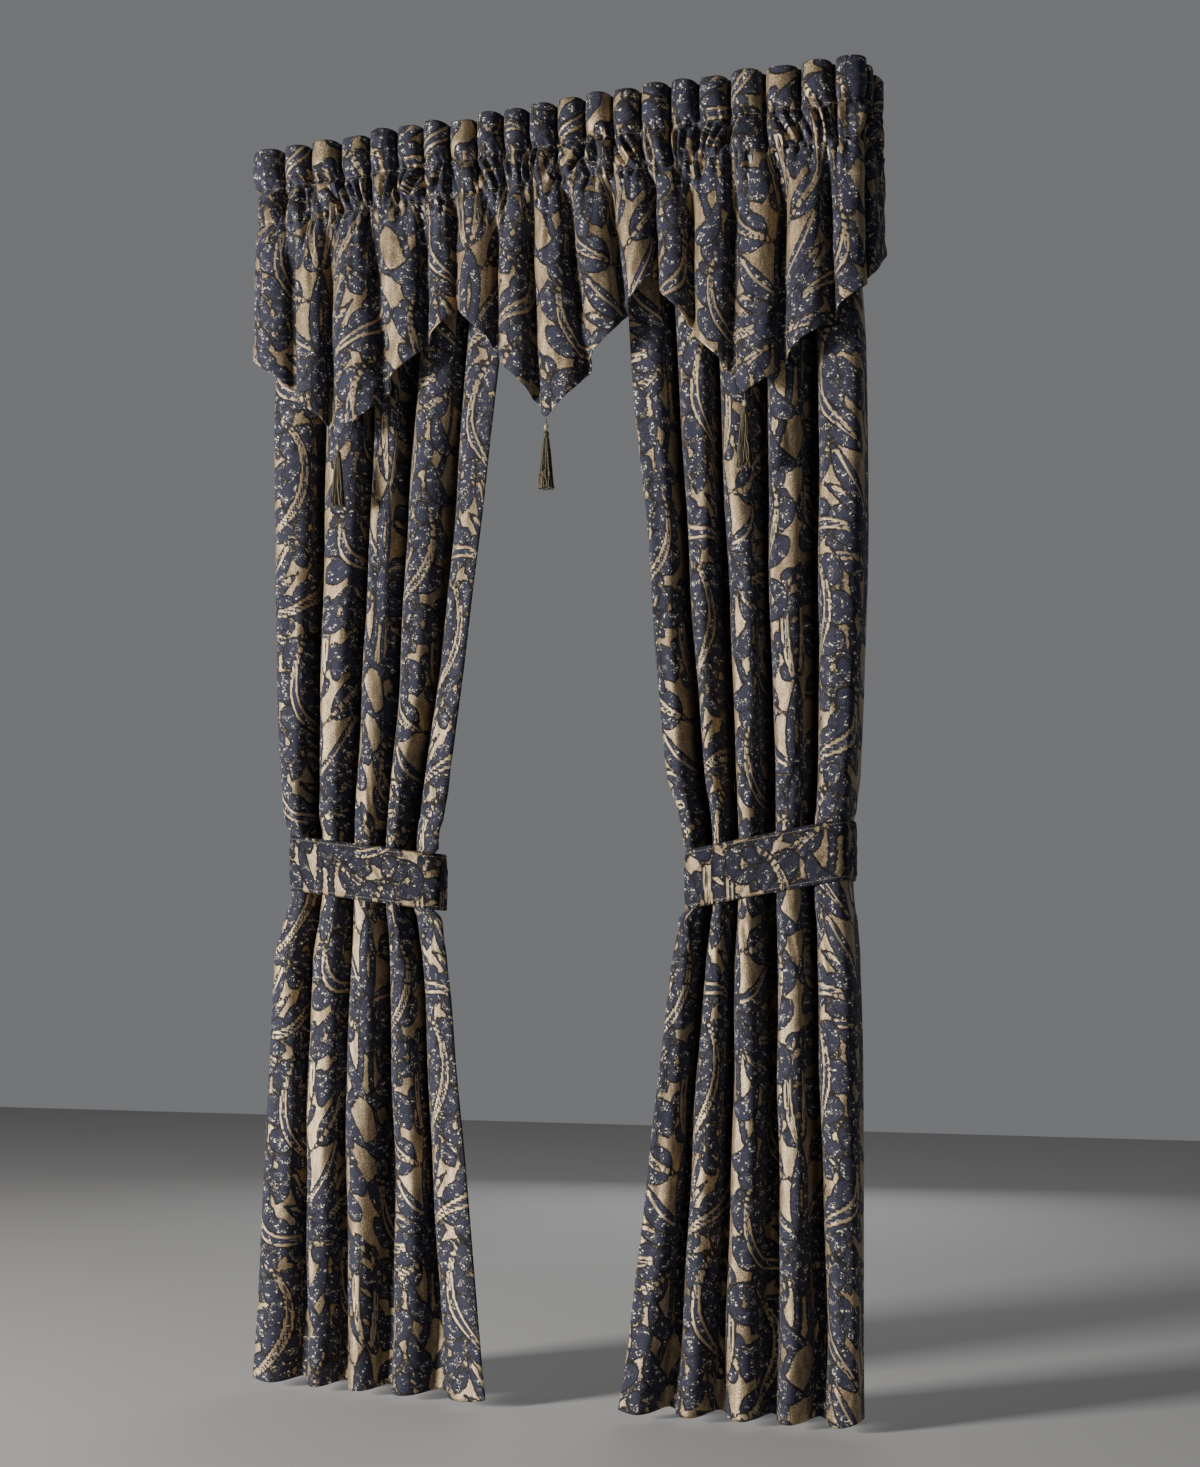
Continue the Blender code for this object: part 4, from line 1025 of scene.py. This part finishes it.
RIGHT_ROWS = (
    PanelRow(-0.050, (0.497, 0.419, 0.340, 0.261, 0.182, 0.102), 0.0325, 0.030, 0.000, 0.000),
    PanelRow(-0.120, (0.499, 0.421, 0.343, 0.266, 0.188, 0.109), 0.0325, 0.030, 0.000, 0.000),
    PanelRow(-0.260, (0.516, 0.433, 0.352, 0.276, 0.200, 0.124), 0.033, 0.042, 0.000, 0.000),
    PanelRow(-0.450, (0.528, 0.441, 0.357, 0.281, 0.207, 0.133), 0.032, 0.050, 0.000, 0.000),
    PanelRow(-0.700, (0.530, 0.444, 0.363, 0.289, 0.223, 0.163), 0.030, 0.058, 0.002, 0.000),
    PanelRow(-0.950, (0.523, 0.446, 0.369, 0.299, 0.240, 0.182), 0.028, 0.064, 0.004, 0.000),
    PanelRow(-1.120, (0.516, 0.446, 0.373, 0.308, 0.253, 0.200), 0.025, 0.066, 0.006, 0.000),
    PanelRow(-1.183, (0.510, 0.445, 0.374, 0.313, 0.265, 0.222), 0.022, 0.066, 0.008, 0.000),
    PanelRow(-1.198, (0.506, 0.443, 0.374, 0.314, 0.267, 0.226), 0.022, 0.066, 0.008, 0.000),
    PanelRow(-1.243, (0.505, 0.443, 0.374, 0.315, 0.270, 0.238), 0.022, 0.066, 0.008, 0.000),
    PanelRow(-1.302, (0.505, 0.443, 0.374, 0.315, 0.270, 0.238), 0.022, 0.066, 0.008, 0.000),
    PanelRow(-1.342, (0.508, 0.444, 0.374, 0.315, 0.270, 0.237), 0.022, 0.066, 0.008, 0.000),
    PanelRow(-1.361, (0.512, 0.446, 0.374, 0.314, 0.267, 0.227), 0.022, 0.066, 0.008, 0.000),
    PanelRow(-1.430, (0.517, 0.448, 0.376, 0.310, 0.259, 0.211), 0.021, 0.064, 0.004, 0.002),
    PanelRow(-1.600, (0.524, 0.453, 0.379, 0.309, 0.248, 0.193), 0.016, 0.060, 0.002, 0.006),
    PanelRow(-1.850, (0.528, 0.457, 0.381, 0.303, 0.232, 0.166), 0.009, 0.054, 0.000, 0.013),
    PanelRow(-2.030, (0.530, 0.460, 0.382, 0.298, 0.220, 0.146), 0.004, 0.050, 0.000, 0.018),
    PanelRow(-2.170, (0.533, 0.462, 0.383, 0.295, 0.210, 0.130), 0.000, 0.046, 0.000, 0.024),
)
# The share of a fold's width that its hollow takes on either side of each place where two meet,
# and how much wider the hollows are at depths below the valance's top.
FOLD_GAPS = {"left": (0.00, 0.105, 0.090, 0.110, 0.095, 0.00),
             "right": (0.00, 0.095, 0.115, 0.095, 0.125, 0.00)}
GAP_HEIGHTS = (0.05, 0.50, 0.95, 1.27, 1.50, 1.90, 2.17)
GAP_SIZES = (0.80, 0.95, 1.15, 1.45, 1.20, 1.40, 1.65)
PANEL_CLOTH = 0.0014
PANEL_TURNS = (6, 12, 5, 5)
PANEL_FOLDS = 5
PANEL_COLUMNS = 190
PANEL_HEIGHTS = 440
# The last fold at a panel's free edge is cut off at a share of its width.
LAST_SHARE = 0.92
GAP_WANDER, GAP_WANDER_RATE = 0.25, 4.1
# Shade is painted on a panel's cloth where it stands less far forward than this share of its fold.
PANEL_HOLLOW = 0.55
HEM_WAVE = 0.009
HEM_WAVE_TOP, HEM_WAVE_EASE = -2.12, 0.05
HEM_CREASE, HEM_CREASE_DEPTH, HEM_CREASE_WIDTH = -2.075, 0.0012, 0.004
TIE_TOP, TIE_FOOT = -1.183, -1.361
TIE_MIDDLE = (TIE_TOP + TIE_FOOT) / 2
TIE_MARGIN = 0.004
PINCH_REACH, PINCH_DEPTH, PINCH_LENGTHS, PINCH_LEAN = 0.10, 0.0026, (0.017, 0.026, 0.039), 0.25
GATHER_REACH, GATHER_DEPTH, GATHER_LENGTHS, GATHER_SUNK = 0.11, 0.0022, (0.019, 0.031), 0.6
# Folds are boxy at both ends of a panel, and rounder from where they spread to the hem.
Roundness = namedtuple("Roundness", "square rounding")
END_FOLD, UPPER_FOLD, LOWER_FOLD = Roundness(6.0, 0.36), Roundness(3.0, 0.46), Roundness(2.1, 0.60)
# From where the folds spread to the hem, the shade painted in their hollows grows lighter.
SPREAD_START, SPREAD_EASE, SPREAD_SHADE_FADE = 1.50, 0.60, 0.6
# Away from its tieback each fold sways sideways down its length, and has a soft crease along it.
Sway = namedtuple("Sway", "width length")
LONG_SWAY, SHORT_SWAY = Sway(0.0035, 0.74), Sway(0.0016, 0.27)
CREASE_DEPTH, CREASE_LENGTH, CREASE_BEND, CREASES_A_FOLD = 0.0022, 0.9, 0.25, 1.5
FREE_START, FREE_EASE = 0.10, 0.25
# Above and below its tieback a panel's free edge swells out over the band: the heights of the
# band's two edges there, and how far.
SWELLS = {"left": (-1.241, -1.339, 0.009), "right": (-1.2455, -1.3435, 0.007)}
SWELL_RISE, SWELL_REACH = 0.008, 0.035


def panel_face(rows, fold_gaps, swell_at, seed):
    """One panel's front: points from the top down, the same places on the flat cloth, and how deep
    in a hollow each lies, for the shade painted there."""
    given = -np.array([row.height for row in rows])
    depths = np.linspace(given[0], given[-1], PANEL_HEIGHTS)
    edges = np.array([flowing(given, places, depths) for places in zip(*(row.edges for row in rows))]).T
    front, deep, crown, swing = (flowing(given, [getattr(row, name) for row in rows], depths)
                                 for name in ("front", "depth", "crown", "swing"))
    random = np.random.default_rng(seed)
    wander = random.uniform(0.0, 2 * pi, PANEL_FOLDS + 1)
    phase = random.uniform(0.0, 2 * pi, (3, PANEL_FOLDS))
    gaps = np.array(fold_gaps) * (1.0 + GAP_WANDER * np.sin(depths[:, None] * GAP_WANDER_RATE + wander))
    gaps = gaps * flowing(GAP_HEIGHTS, GAP_SIZES, depths)[:, None]

    def section(column, at):
        """Points of the rows numbered by at, at places counted in folds from the panel's outer edge,
        and how much shade is painted on each, from how deep in a hollow it lies."""
        n = np.minimum(column.astype(int), PANEL_FOLDS - 1)
        share = column - n
        left, right = edges[at][:, n], edges[at][:, n + 1]
        x = left + (right - left) * share
        across = (x - edges[at][:, :1]) / (edges[at][:, -1:] - edges[at][:, :1])
        forward = crown[at][:, None] * np.sin(pi * across) + swing[at][:, None] * across
        end = ((n == 0) & (share < 0.5)) | ((n == PANEL_FOLDS - 1) & (share > 0.5))
        spread = np.clip((depths[at][:, None] - SPREAD_START) / SPREAD_EASE, 0.0, 1.0)
        square, rounding = (np.where(end, at_end, upper + (lower - upper) * spread)
                            for at_end, upper, lower in zip(END_FOLD, UPPER_FOLD, LOWER_FOLD))
        stands = fold(share, gaps[at][:, n], gaps[at][:, n + 1], square, rounding)
        y = front[at][:, None] - forward + deep[at][:, None] * (1.0 - stands)
        # Painted shade in the hollows: none on the end folds, and lighter where the folds spread.
        return x, y, in_hollow(stands, PANEL_HOLLOW) * ~end * (1.0 - SPREAD_SHADE_FADE * spread)

    # The columns lie evenly along the cloth, as it lies seven eighths of the way down.
    fine = np.linspace(0.0, PANEL_FOLDS - 1 + LAST_SHARE, 2000)
    x, y, _ = section(fine, np.array([PANEL_HEIGHTS * 7 // 8]))
    length = np.concatenate([[0.0], np.cumsum(np.hypot(np.diff(x[0]), np.diff(y[0])))])
    column = np.interp(np.linspace(0.0, length[-1], PANEL_COLUMNS), length, fine)
    across = np.interp(column, fine, length)
    x, y, hollow = section(column, np.arange(PANEL_HEIGHTS))

    side = 1.0 if rows[0].edges[0] < rows[0].edges[-1] else -1.0
    z = -depths[:, None]
    n = np.minimum(column.astype(int), PANEL_FOLDS - 1)
    share = column - n
    crest = 1.0 - (2.0 * share - 1.0) ** 2
    free = np.clip((np.abs(z - TIE_MIDDLE) - FREE_START) / FREE_EASE, 0.0, 1.0)
    free = free * free * (3 - 2 * free)
    sway = sum(wave.width * np.sin(2 * pi * z / wave.length + phase[k][n])
               for k, wave in enumerate((LONG_SWAY, SHORT_SWAY)))
    bends = CREASE_BEND * np.sin(2 * pi * z / CREASE_LENGTH + phase[2][n])
    crease = CREASE_DEPTH * np.cos(2 * pi * (CREASES_A_FOLD * share + bends))
    x = x + sway * free * crest
    y = y + crease * free * crest

    band_top, band_foot, swell_width = swell_at
    from_band = np.maximum(z - band_top, band_foot - z)
    over_tie = np.clip(from_band / SWELL_RISE, 0.0, 1.0) * np.exp(-(from_band / SWELL_REACH) ** 2)
    x = x + side * swell_width * over_tie * np.clip((column - (PANEL_FOLDS - 1)) / 0.5, 0.0, 1.0)
    near_tie = np.exp(-(np.minimum(np.abs(z - TIE_TOP), np.abs(z - TIE_FOOT)) / PINCH_REACH) ** 2)
    in_tie = (z < TIE_TOP + TIE_MARGIN) & (z > TIE_FOOT - TIE_MARGIN)
    pinch = ripple(across + PINCH_LEAN * np.abs(z - TIE_MIDDLE), PINCH_LENGTHS, seed)
    y = y + PINCH_DEPTH * near_tie * ~in_tie * pinch
    at_top = np.exp(-(-z - given[0]) / GATHER_REACH)
    y = y + GATHER_DEPTH * at_top * (ripple(across, GATHER_LENGTHS, seed + 9) - GATHER_SUNK)
    y = y + HEM_CREASE_DEPTH * np.exp(-((z - HEM_CREASE) / HEM_CREASE_WIDTH) ** 2)
    z = z + HEM_WAVE * (1.0 - crest) * np.clip((HEM_WAVE_TOP - z) / HEM_WAVE_EASE, 0.0, 1.0)
    face = np.stack([x, y, z], axis=2)
    for _ in range(2):
        face[:, 1:-1] = face[:, 1:-1] / 2 + (face[:, :-2] + face[:, 2:]) / 4
    flat = np.stack([np.broadcast_to(across * side, x.shape), face[:, :, 2]], axis=2)
    if side < 0:
        face, flat, hollow = face[:, ::-1], flat[:, ::-1], hollow[:, ::-1]
    return face, flat, hollow


panel_faces = {}
for side, rows, seed in (("left", LEFT_ROWS, 21), ("right", RIGHT_ROWS, 34)):
    face, flat, hollow = panel_face(rows, FOLD_GAPS[side], SWELLS[side], seed)
    panel_faces[side] = face, flat
    panel = turned_cloth("panel_cloth_" + side, face, flat, PANEL_TURNS, PANEL_CLOTH, hollow)
    panel.data.materials.append(damask_finish)
    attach(panel, "root")
    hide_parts("panel_" + side)


# Panel linings and pockets: each panel is lined behind with the same pale cotton, and its top is
# turned back into a strip that holds the rear rod.

PANEL_CHANNEL = 0.022
PANEL_POCKET_EASE = 0.016
PANEL_POCKET_TOP = -0.052
PANEL_POCKET_FOOT = -0.118

for side, (face, flat) in panel_faces.items():
    lining = add_lining("panel_lining_" + side, face, flat, slice(8, -6, 3), slice(4, -4))
    low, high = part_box("panel_pocket_" + side)
    middle, half = (low[0] + high[0]) / 2, (high[0] - low[0]) / 2
    seam = low[1]
    along = np.linspace(-half, half, 101)
    lines = (middle + along, np.zeros(len(along)), np.zeros(len(along)), np.full(len(along), -1.0))
    pocket = add_pocket("panel_rod_pocket_" + side, lines, along, (
        (PANEL_POCKET_TOP, seam), (PANEL_POCKET_TOP - PANEL_POCKET_EASE, seam + PANEL_CHANNEL),
        (PANEL_POCKET_FOOT + PANEL_POCKET_EASE, seam + PANEL_CHANNEL), (PANEL_POCKET_FOOT, seam)))
    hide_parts("panel_pocket_" + side)


# Tiebacks: a flat padded band of the damask round each panel, with a sewn edge above and below,
# higher at the panel's outer edge, where its two ends are held behind.

TIE_ROW = 9
TIE_HEIGHT = 0.098
TIE_HEIGHTS = {"left": (-1.2515, -1.2900), "right": (-1.2495, -1.2945)}
# Where on the flat cloth each tieback is cut from, at its outer end and its middle height.
TIE_CUT = {"left": (0.253, 0.6615), "right": (0.6745, 0.2615)}
TIE_CORNER = 0.012
TIE_CLEARANCE = 0.0004
TIE_REAR_REACH = 0.020
TIE_REAR_EASE = 0.0010
TIE_TURN_SHARE = 0.62
TIE_CLOTH = 0.0030
TIE_PUFF = 0.0016
TIE_EDGE = 0.0015
TIE_SEAM, TIE_SEAM_DEPTH, TIE_SEAM_WIDTH = 0.0075, 0.0010, 0.0022
TIE_WORN = 0.22
TIE_WRINKLE = 0.0005
TIE_STEP = 0.0035
INNER_LEVELS, OUTER_LEVELS = 5, 33
TIE_THREAD_SUNK = 0.5
PANEL_SOLID = 0.0025


def arc(centre, radius, start, end, count=9):
    """Points on an arc in plan, angles in radians from +X."""
    angles = np.linspace(start, end, count)
    return np.column_stack([centre[0] + radius * np.cos(angles), centre[1] + radius * np.sin(angles)])


def tie_path(row):
    """Plan line of a tieback's inner face: from the outer edge, across the front, and back behind."""
    outer, inner = row.edges[0], row.edges[-1]
    side = 1.0 if inner > outer else -1.0
    reach = TIE_CLEARANCE + TIE_CORNER
    x0, x1 = outer - side * TIE_CLEARANCE, inner + side * TIE_CLEARANCE
    back = row.front + row.depth + PANEL_SOLID + TIE_CLEARANCE
    y0 = row.front - TIE_CLEARANCE
    across = np.linspace(x0 + side * TIE_CORNER, x1 - side * TIE_CORNER, 60)
    front = np.column_stack([across, y0 - row.crown * np.sin(pi * (across - outer) / (inner - outer))])
    outward, forward, inward = (pi, 1.5 * pi, 2 * pi) if side > 0 else (0.0, -0.5 * pi, -pi)
    outer_arc = arc((x0 + side * TIE_CORNER, y0 + TIE_CORNER), TIE_CORNER, outward, forward)[:-1]
    inner_arc = arc((x1 - side * TIE_CORNER, y0 + TIE_CORNER), TIE_CORNER, forward, inward)[1:]
    turn = np.array([[x1, row.front + row.depth * TIE_TURN_SHARE]])
    rear_x = row.edges[-2] + side * TIE_REAR_REACH
    rear_arc = arc((rear_x - side * reach, back - reach), reach, 0.0 if side > 0 else pi, 0.5 * pi)
    outer_end = np.array([[x0, back + TIE_CLOTH], [x0, (back + y0) / 2]])
    rear = np.array([[rear_x - side * 2 * reach, back], [x0 + side * TIE_REAR_EASE, back]])
    return np.vstack([outer_end, outer_arc, front, inner_arc, turn, rear_arc, rear]), side


def tie_section():
    """Offset and height round the band's cross-section, from its inner face's foot upwards and over."""
    half = TIE_HEIGHT / 2
    inner = [(0.0, level) for level in np.linspace(-half + 0.001, half - 0.001, INNER_LEVELS)]
    levels = np.linspace(half, -half, OUTER_LEVELS)
    edge = half - np.abs(levels)
    puff = TIE_CLOTH * np.clip(edge / TIE_EDGE, 0.5, 1.0) + TIE_PUFF * (1.0 - (np.abs(levels) / half) ** 4)
    puff -= TIE_SEAM_DEPTH * np.exp(-((edge - TIE_SEAM) / TIE_SEAM_WIDTH) ** 2)
    return np.array(inner + list(zip(puff, levels)))


for side, rows in (("left", LEFT_ROWS), ("right", RIGHT_ROWS)):
    row = rows[TIE_ROW]
    line, turn = tie_path(row)
    length = np.concatenate([[0.0], np.cumsum(np.linalg.norm(np.diff(line, axis=0), axis=1))])
    along = np.linspace(0.0, length[-1], int(length[-1] / TIE_STEP))
    line = np.column_stack([np.interp(along, length, line[:, 0]), np.interp(along, length, line[:, 1])])
    for _ in range(2):
        line[1:-1] = line[1:-1] / 2 + (line[:-2] + line[2:]) / 4
    steps = np.gradient(line, axis=0)
    steps /= np.linalg.norm(steps, axis=1)[:, None]
    out = np.column_stack([steps[:, 1], -steps[:, 0]]) * turn
    outer_z, inner_z = TIE_HEIGHTS[side]
    middle = outer_z + (inner_z - outer_z) * (line[:, 0] - row.edges[0]) / (row.edges[-1] - row.edges[0])
    stands, levels = tie_section().T
    worn = 1.0 + TIE_WORN * ripple(along, (0.047, 0.071, 0.13), 12 if turn > 0 else 15)
    wrinkle = TIE_WRINKLE * ripple(along[:, None] + 0.8 * levels, (0.016, 0.027), 3)
    offset = stands * np.where(stands > 0.0, worn[:, None], 1.0) + (stands > 0.0) * wrinkle
    points = np.stack([line[:, :1] + out[:, :1] * offset, line[:, 1:] + out[:, 1:] * offset,
                       middle[:, None] + levels], axis=2)
    across = np.broadcast_to((along * turn)[:, None] + TIE_CUT[side][0], offset.shape)
    up = np.broadcast_to(levels + TIE_CUT[side][1], offset.shape)
    band = grid_piece("tieback_band_" + side, points, across, up, closed=True, outward=turn)
    band.data.materials.append(tie_shaded_finish)
    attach(band, "root")
    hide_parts("tieback_" + side)
    seams = []
    thread_off = np.column_stack([out, np.zeros(len(out))]) * THREAD_RADIUS * TIE_THREAD_SUNK
    for level in (TIE_HEIGHT / 2 - TIE_SEAM, TIE_SEAM - TIE_HEIGHT / 2):
        n = INNER_LEVELS + int(np.argmin(np.abs(levels[INNER_LEVELS:] - level)))
        seams.append(points[:, n] + thread_off)
    add_stitches("tieback_stitches_" + side, seams)


# Tassels: from each point of the valance hangs a twisted cord with a bead, a bound head and a
# skirt of yarn in black, olive and dull gold.

STRANDS = 96
STRAND_ROOT = 0.034
STRAND_RADIUS = 0.00088
STRAND_SIDES = 4
STRAND_POINTS = 9
TASSEL_LENGTH = 0.118
HEAD_RADIUS = 0.0047
FLARE_RADIUS = 0.0136
FLARE_CURVE = 0.95
GOLDEN_TURN = 2.39996
# How each strand wanders: the noise's steps between strands, down each and between skirts, and how far it
# turns the strand round the head, moves it outwards and makes it shorter.
STRAND_STEP, DOWN_STEP, SEED_STEP = 7.31, 2.2, 3.7
WANDER_TURN, WANDER_OUT, WANDER_SHORTER = 1.6, 0.006, 0.10
YARN_BLACK, YARN_OLIVE, YARN_GOLD, YARN_PALE = ((0.010, 0.009, 0.009), (0.066, 0.055, 0.028),
                                                (0.20, 0.155, 0.08), (0.50, 0.41, 0.26))
YARN_SHADOW, YARN_SHADOW_SHARE = (0.03, 0.026, 0.018), 0.45
YARN_RELIEF = 0.0004

yarn_finish, tree, shader = new_finish("tassel yarn", 0.5, sheen=0.3, specular=0.4)
strand = stored(tree, "strand")
chance = add_node(tree, "ShaderNodeTexWhiteNoise", {"W": strand}, noise_dimensions="1D").outputs["Value"]
# Bound parts have the negative of their own shade in place of a strand's number.
loose = maths(tree, "GREATER_THAN", strand, -0.001)
bound = maths(tree, "MAXIMUM", times(tree, strand, -1.0), 0.0)
shade = plus(tree, times(tree, chance, loose), bound)
place = add_node(tree, "ShaderNodeTexCoord").outputs["Object"]
twist = noise_of(tree, place, 700.0, 1.0, 0.5, (1.0, 1.0, 0.6))
yarn = mixed(tree, stepped(tree, shade, 0.36, 0.40), YARN_BLACK, YARN_OLIVE)
yarn = mixed(tree, stepped(tree, shade, 0.64, 0.68), yarn, YARN_GOLD)
yarn = mixed(tree, stepped(tree, shade, 0.86, 0.90), yarn, YARN_PALE)
yarn = mixed(tree, stepped(tree, twist, 0.35, 0.65, 0.0, YARN_SHADOW_SHARE), yarn, YARN_SHADOW)
tree.links.new(yarn, shader.inputs["Base Color"])
raised(tree, shader, twist, YARN_RELIEF)


def strand_tree(finish):
    """A tassel's skirt: strands of yarn that hang from its head and flare a little to their ends."""
    sizes = [("Strands", "NodeSocketInt")]
    sizes += [(label, "NodeSocketFloat") for label in ("Root depth", "Length", "Head radius", "Flare radius",
                                                       "Strand radius", "Seed")]
    tree, given, made, named = new_tree("tassel skirt", "Head", "Skirt", sizes)
    roots = add_node(tree, "GeometryNodePoints", {"Count": given["Strands"]}).outputs["Points"]
    index = add_node(tree, "GeometryNodeInputIndex").outputs["Index"]
    numbered = add_node(tree, "GeometryNodeStoreNamedAttribute",
                        {"Geometry": roots, "Name": "strand", "Value": index}, data_type="FLOAT")
    line = add_node(tree, "GeometryNodeCurvePrimitiveLine", {"End": (0.0, 0.0, -1.0)}).outputs["Curve"]
    bends = add_node(tree, "GeometryNodeResampleCurve", {"Curve": line, "Count": STRAND_POINTS})
    hung = add_node(tree, "GeometryNodeInstanceOnPoints",
                    {"Points": numbered.outputs["Geometry"], "Instance": bends.outputs["Curve"]})
    real = add_node(tree, "GeometryNodeRealizeInstances", {"Geometry": hung.outputs["Instances"]})
    number = add_node(tree, "GeometryNodeInputNamedAttribute", {"Name": "strand"}).outputs["Attribute"]
    t = add_node(tree, "GeometryNodeSplineParameter").outputs["Factor"]

    # Each strand's root has its own reach from the head's middle, and it wanders on its way down.
    ring = maths(tree, "SQRT", maths(tree, "DIVIDE", plus(tree, number, 0.5), given["Strands"]))
    start = times(tree, ring, given["Head radius"])
    flare = times(tree, ring, maths(tree, "SUBTRACT", given["Flare radius"], given["Head radius"]))
    reach = plus(tree, start, times(tree, flare, maths(tree, "POWER", t, FLARE_CURVE)))
    spot = add_node(tree, "ShaderNodeCombineXYZ", {
        "X": plus(tree, times(tree, number, STRAND_STEP), given["Seed"]),
        "Y": times(tree, t, DOWN_STEP)})
    wander = add_node(tree, "ShaderNodeTexNoise", {"Vector": spot.outputs["Vector"], "Scale": 1.0},
                      noise_dimensions="2D")
    drift = times(tree, maths(tree, "SUBTRACT", wander.outputs["Fac"], 0.5), t)
    angle = plus(tree, times(tree, number, GOLDEN_TURN), times(tree, drift, WANDER_TURN))
    reach = plus(tree, reach, times(tree, drift, WANDER_OUT))
    fall = times(tree, t, maths(tree, "SUBTRACT", given["Length"], given["Root depth"]))
    shorter = maths(tree, "SUBTRACT", 1.0, times(tree, maths(tree, "ABSOLUTE", drift), WANDER_SHORTER))
    fall = plus(tree, times(tree, fall, shorter), given["Root depth"])
    at = add_node(tree, "ShaderNodeCombineXYZ", {
        "X": times(tree, reach, maths(tree, "COSINE", angle)),
        "Y": times(tree, reach, maths(tree, "SINE", angle)),
        "Z": times(tree, fall, -1.0)})
    placed = add_node(tree, "GeometryNodeSetPosition",
                      {"Geometry": real.outputs["Geometry"], "Position": at.outputs["Vector"]})
    yarns = round_tube(tree, placed.outputs["Geometry"], STRAND_SIDES, given["Strand radius"])
    finished(tree, made, yarns, finish)
    return tree, named


SKIRT, SKIRT_SIZES = strand_tree(yarn_finish)

# Radius and depth below the valance's point, from the bead down to the foot of the bound head.
BEAD = ((0.0009, 0.0100), (0.0026, 0.0112), (0.0036, 0.0132), (0.0037, 0.0150), (0.0036, 0.0168),
        (0.0026, 0.0188), (0.0012, 0.0200))
HEAD = ((0.0010, 0.0212), (0.0028, 0.0222), (0.0044, 0.0238), (0.0050, 0.0258), (0.0050, 0.0278),
        (0.0046, 0.0296), (0.0037, 0.0308), (0.0041, 0.0317), (0.0043, 0.0326), (0.0039, 0.0334),
        (0.0043, 0.0342), (0.0043, 0.0351), (0.0039, 0.0358), (0.0043, 0.0366), (0.0042, 0.0376),
        (0.0036, 0.0386), (0.0020, 0.0390))
ROUND = 20
PLY_RADIUS = 0.00068
PLY_TURNS = 3.0
PLY_STEPS = 36
PLY_SIDES = 6
# The cord's two stretches by their depth below the valance's point: above the bead, and below it.
PLY_STRETCHES = ((-0.0004, 0.0115), (0.0190, 0.0225))
# Which part of the profiles each turned part takes, how deep its ridges of yarn are, and its shade.
Turned = namedtuple("Turned", "profile ridges shade")
TURNED_PARTS = (Turned(BEAD, 0.05, 0.95), Turned(HEAD[:7], 0.03, 0.60), Turned(HEAD[6:], 0.03, 0.45))
PLY_SHADE, PLY_SHADE_STEP = 0.45, 0.1


def stacked_rings(rings):
    """The faces of a tube made of rings of points, each ring above the next, closed at both ends."""
    count = len(rings[0])
    last = (len(rings) - 1) * count
    faces = [tuple(range(count)), tuple(reversed(range(last, last + count)))]
    for start in range(0, last, count):
        for n in range(count):
            a, b = start + n, start + (n + 1) % count
            faces.append((a, a + count, b + count, b))
    return faces


def turned_shape(profile, top, ridges):
    """A shape turned on an upright axis, with upright ridges of yarn."""
    angles = 2 * pi * np.arange(ROUND) / ROUND
    rings = []
    for radius, depth in profile:
        reach = radius * (1.0 + ridges * np.cos(ROUND / 2 * angles))
        rings.append(np.column_stack([top[0] + reach * np.cos(angles), top[1] + reach * np.sin(angles),
                                      np.full(ROUND, top[2] - depth)]))
    return np.vstack(rings), stacked_rings(rings)


def twisted_ply(top, start, end, phase):
    """One ply of the cord that the tassel hangs on, wound round its middle."""
    t = np.linspace(0.0, 1.0, PLY_STEPS + 1)
    turn = 2 * pi * PLY_TURNS * t + phase
    middle = np.column_stack([top[0] + PLY_RADIUS * np.cos(turn), top[1] + PLY_RADIUS * np.sin(turn),
                              top[2] - start - (end - start) * t])
    angles = 2 * pi * np.arange(PLY_SIDES) / PLY_SIDES
    ring = np.column_stack([PLY_RADIUS * np.cos(angles), PLY_RADIUS * np.sin(angles), np.zeros(PLY_SIDES)])
    rings = [spot + ring for spot in middle]
    return np.vstack(rings), stacked_rings(rings)


for number, side in enumerate(("left", "centre", "right")):
    low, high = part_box("tassel_" + side)
    top = ((low[0] + high[0]) / 2, (low[1] + high[1]) / 2, high[2])
    parts = [(*turned_shape(part.profile, top, part.ridges), part.shade) for part in TURNED_PARTS]
    for phase in (0.0, pi):
        parts += [(*twisted_ply(top, *stretch, phase), PLY_SHADE + PLY_SHADE_STEP * phase)
                  for stretch in PLY_STRETCHES]
    points, faces, shades = [], [], []
    for part_points, part_faces, part_shade in parts:
        first = sum(len(p) for p in points)
        faces += [tuple(first + n for n in face) for face in part_faces]
        points.append(part_points)
        shades += [-part_shade] * len(part_points)
    head = add_mesh("tassel_head_" + side, np.vstack(points), faces)
    head.data.attributes.new("strand", "FLOAT", "POINT").data.foreach_set("value", shades)
    head.data.materials.append(yarn_finish)
    skirt = bpy.data.objects.new("tassel_skirt_" + side, bpy.data.meshes.new("tassel_skirt_" + side))
    bpy.context.collection.objects.link(skirt)
    skirt_sizes = {"Strands": STRANDS, "Root depth": STRAND_ROOT, "Length": TASSEL_LENGTH,
                   "Head radius": HEAD_RADIUS, "Flare radius": FLARE_RADIUS, "Strand radius": STRAND_RADIUS,
                   "Seed": SEED_STEP * number + 1.0}
    made_real(skirt, SKIRT, {SKIRT_SIZES[label]: size for label, size in skirt_sizes.items()})
    skirt.data.transform(Matrix.Translation(top))
    for piece in (head, skirt):
        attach(piece, "root")
        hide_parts("tassel_" + side)
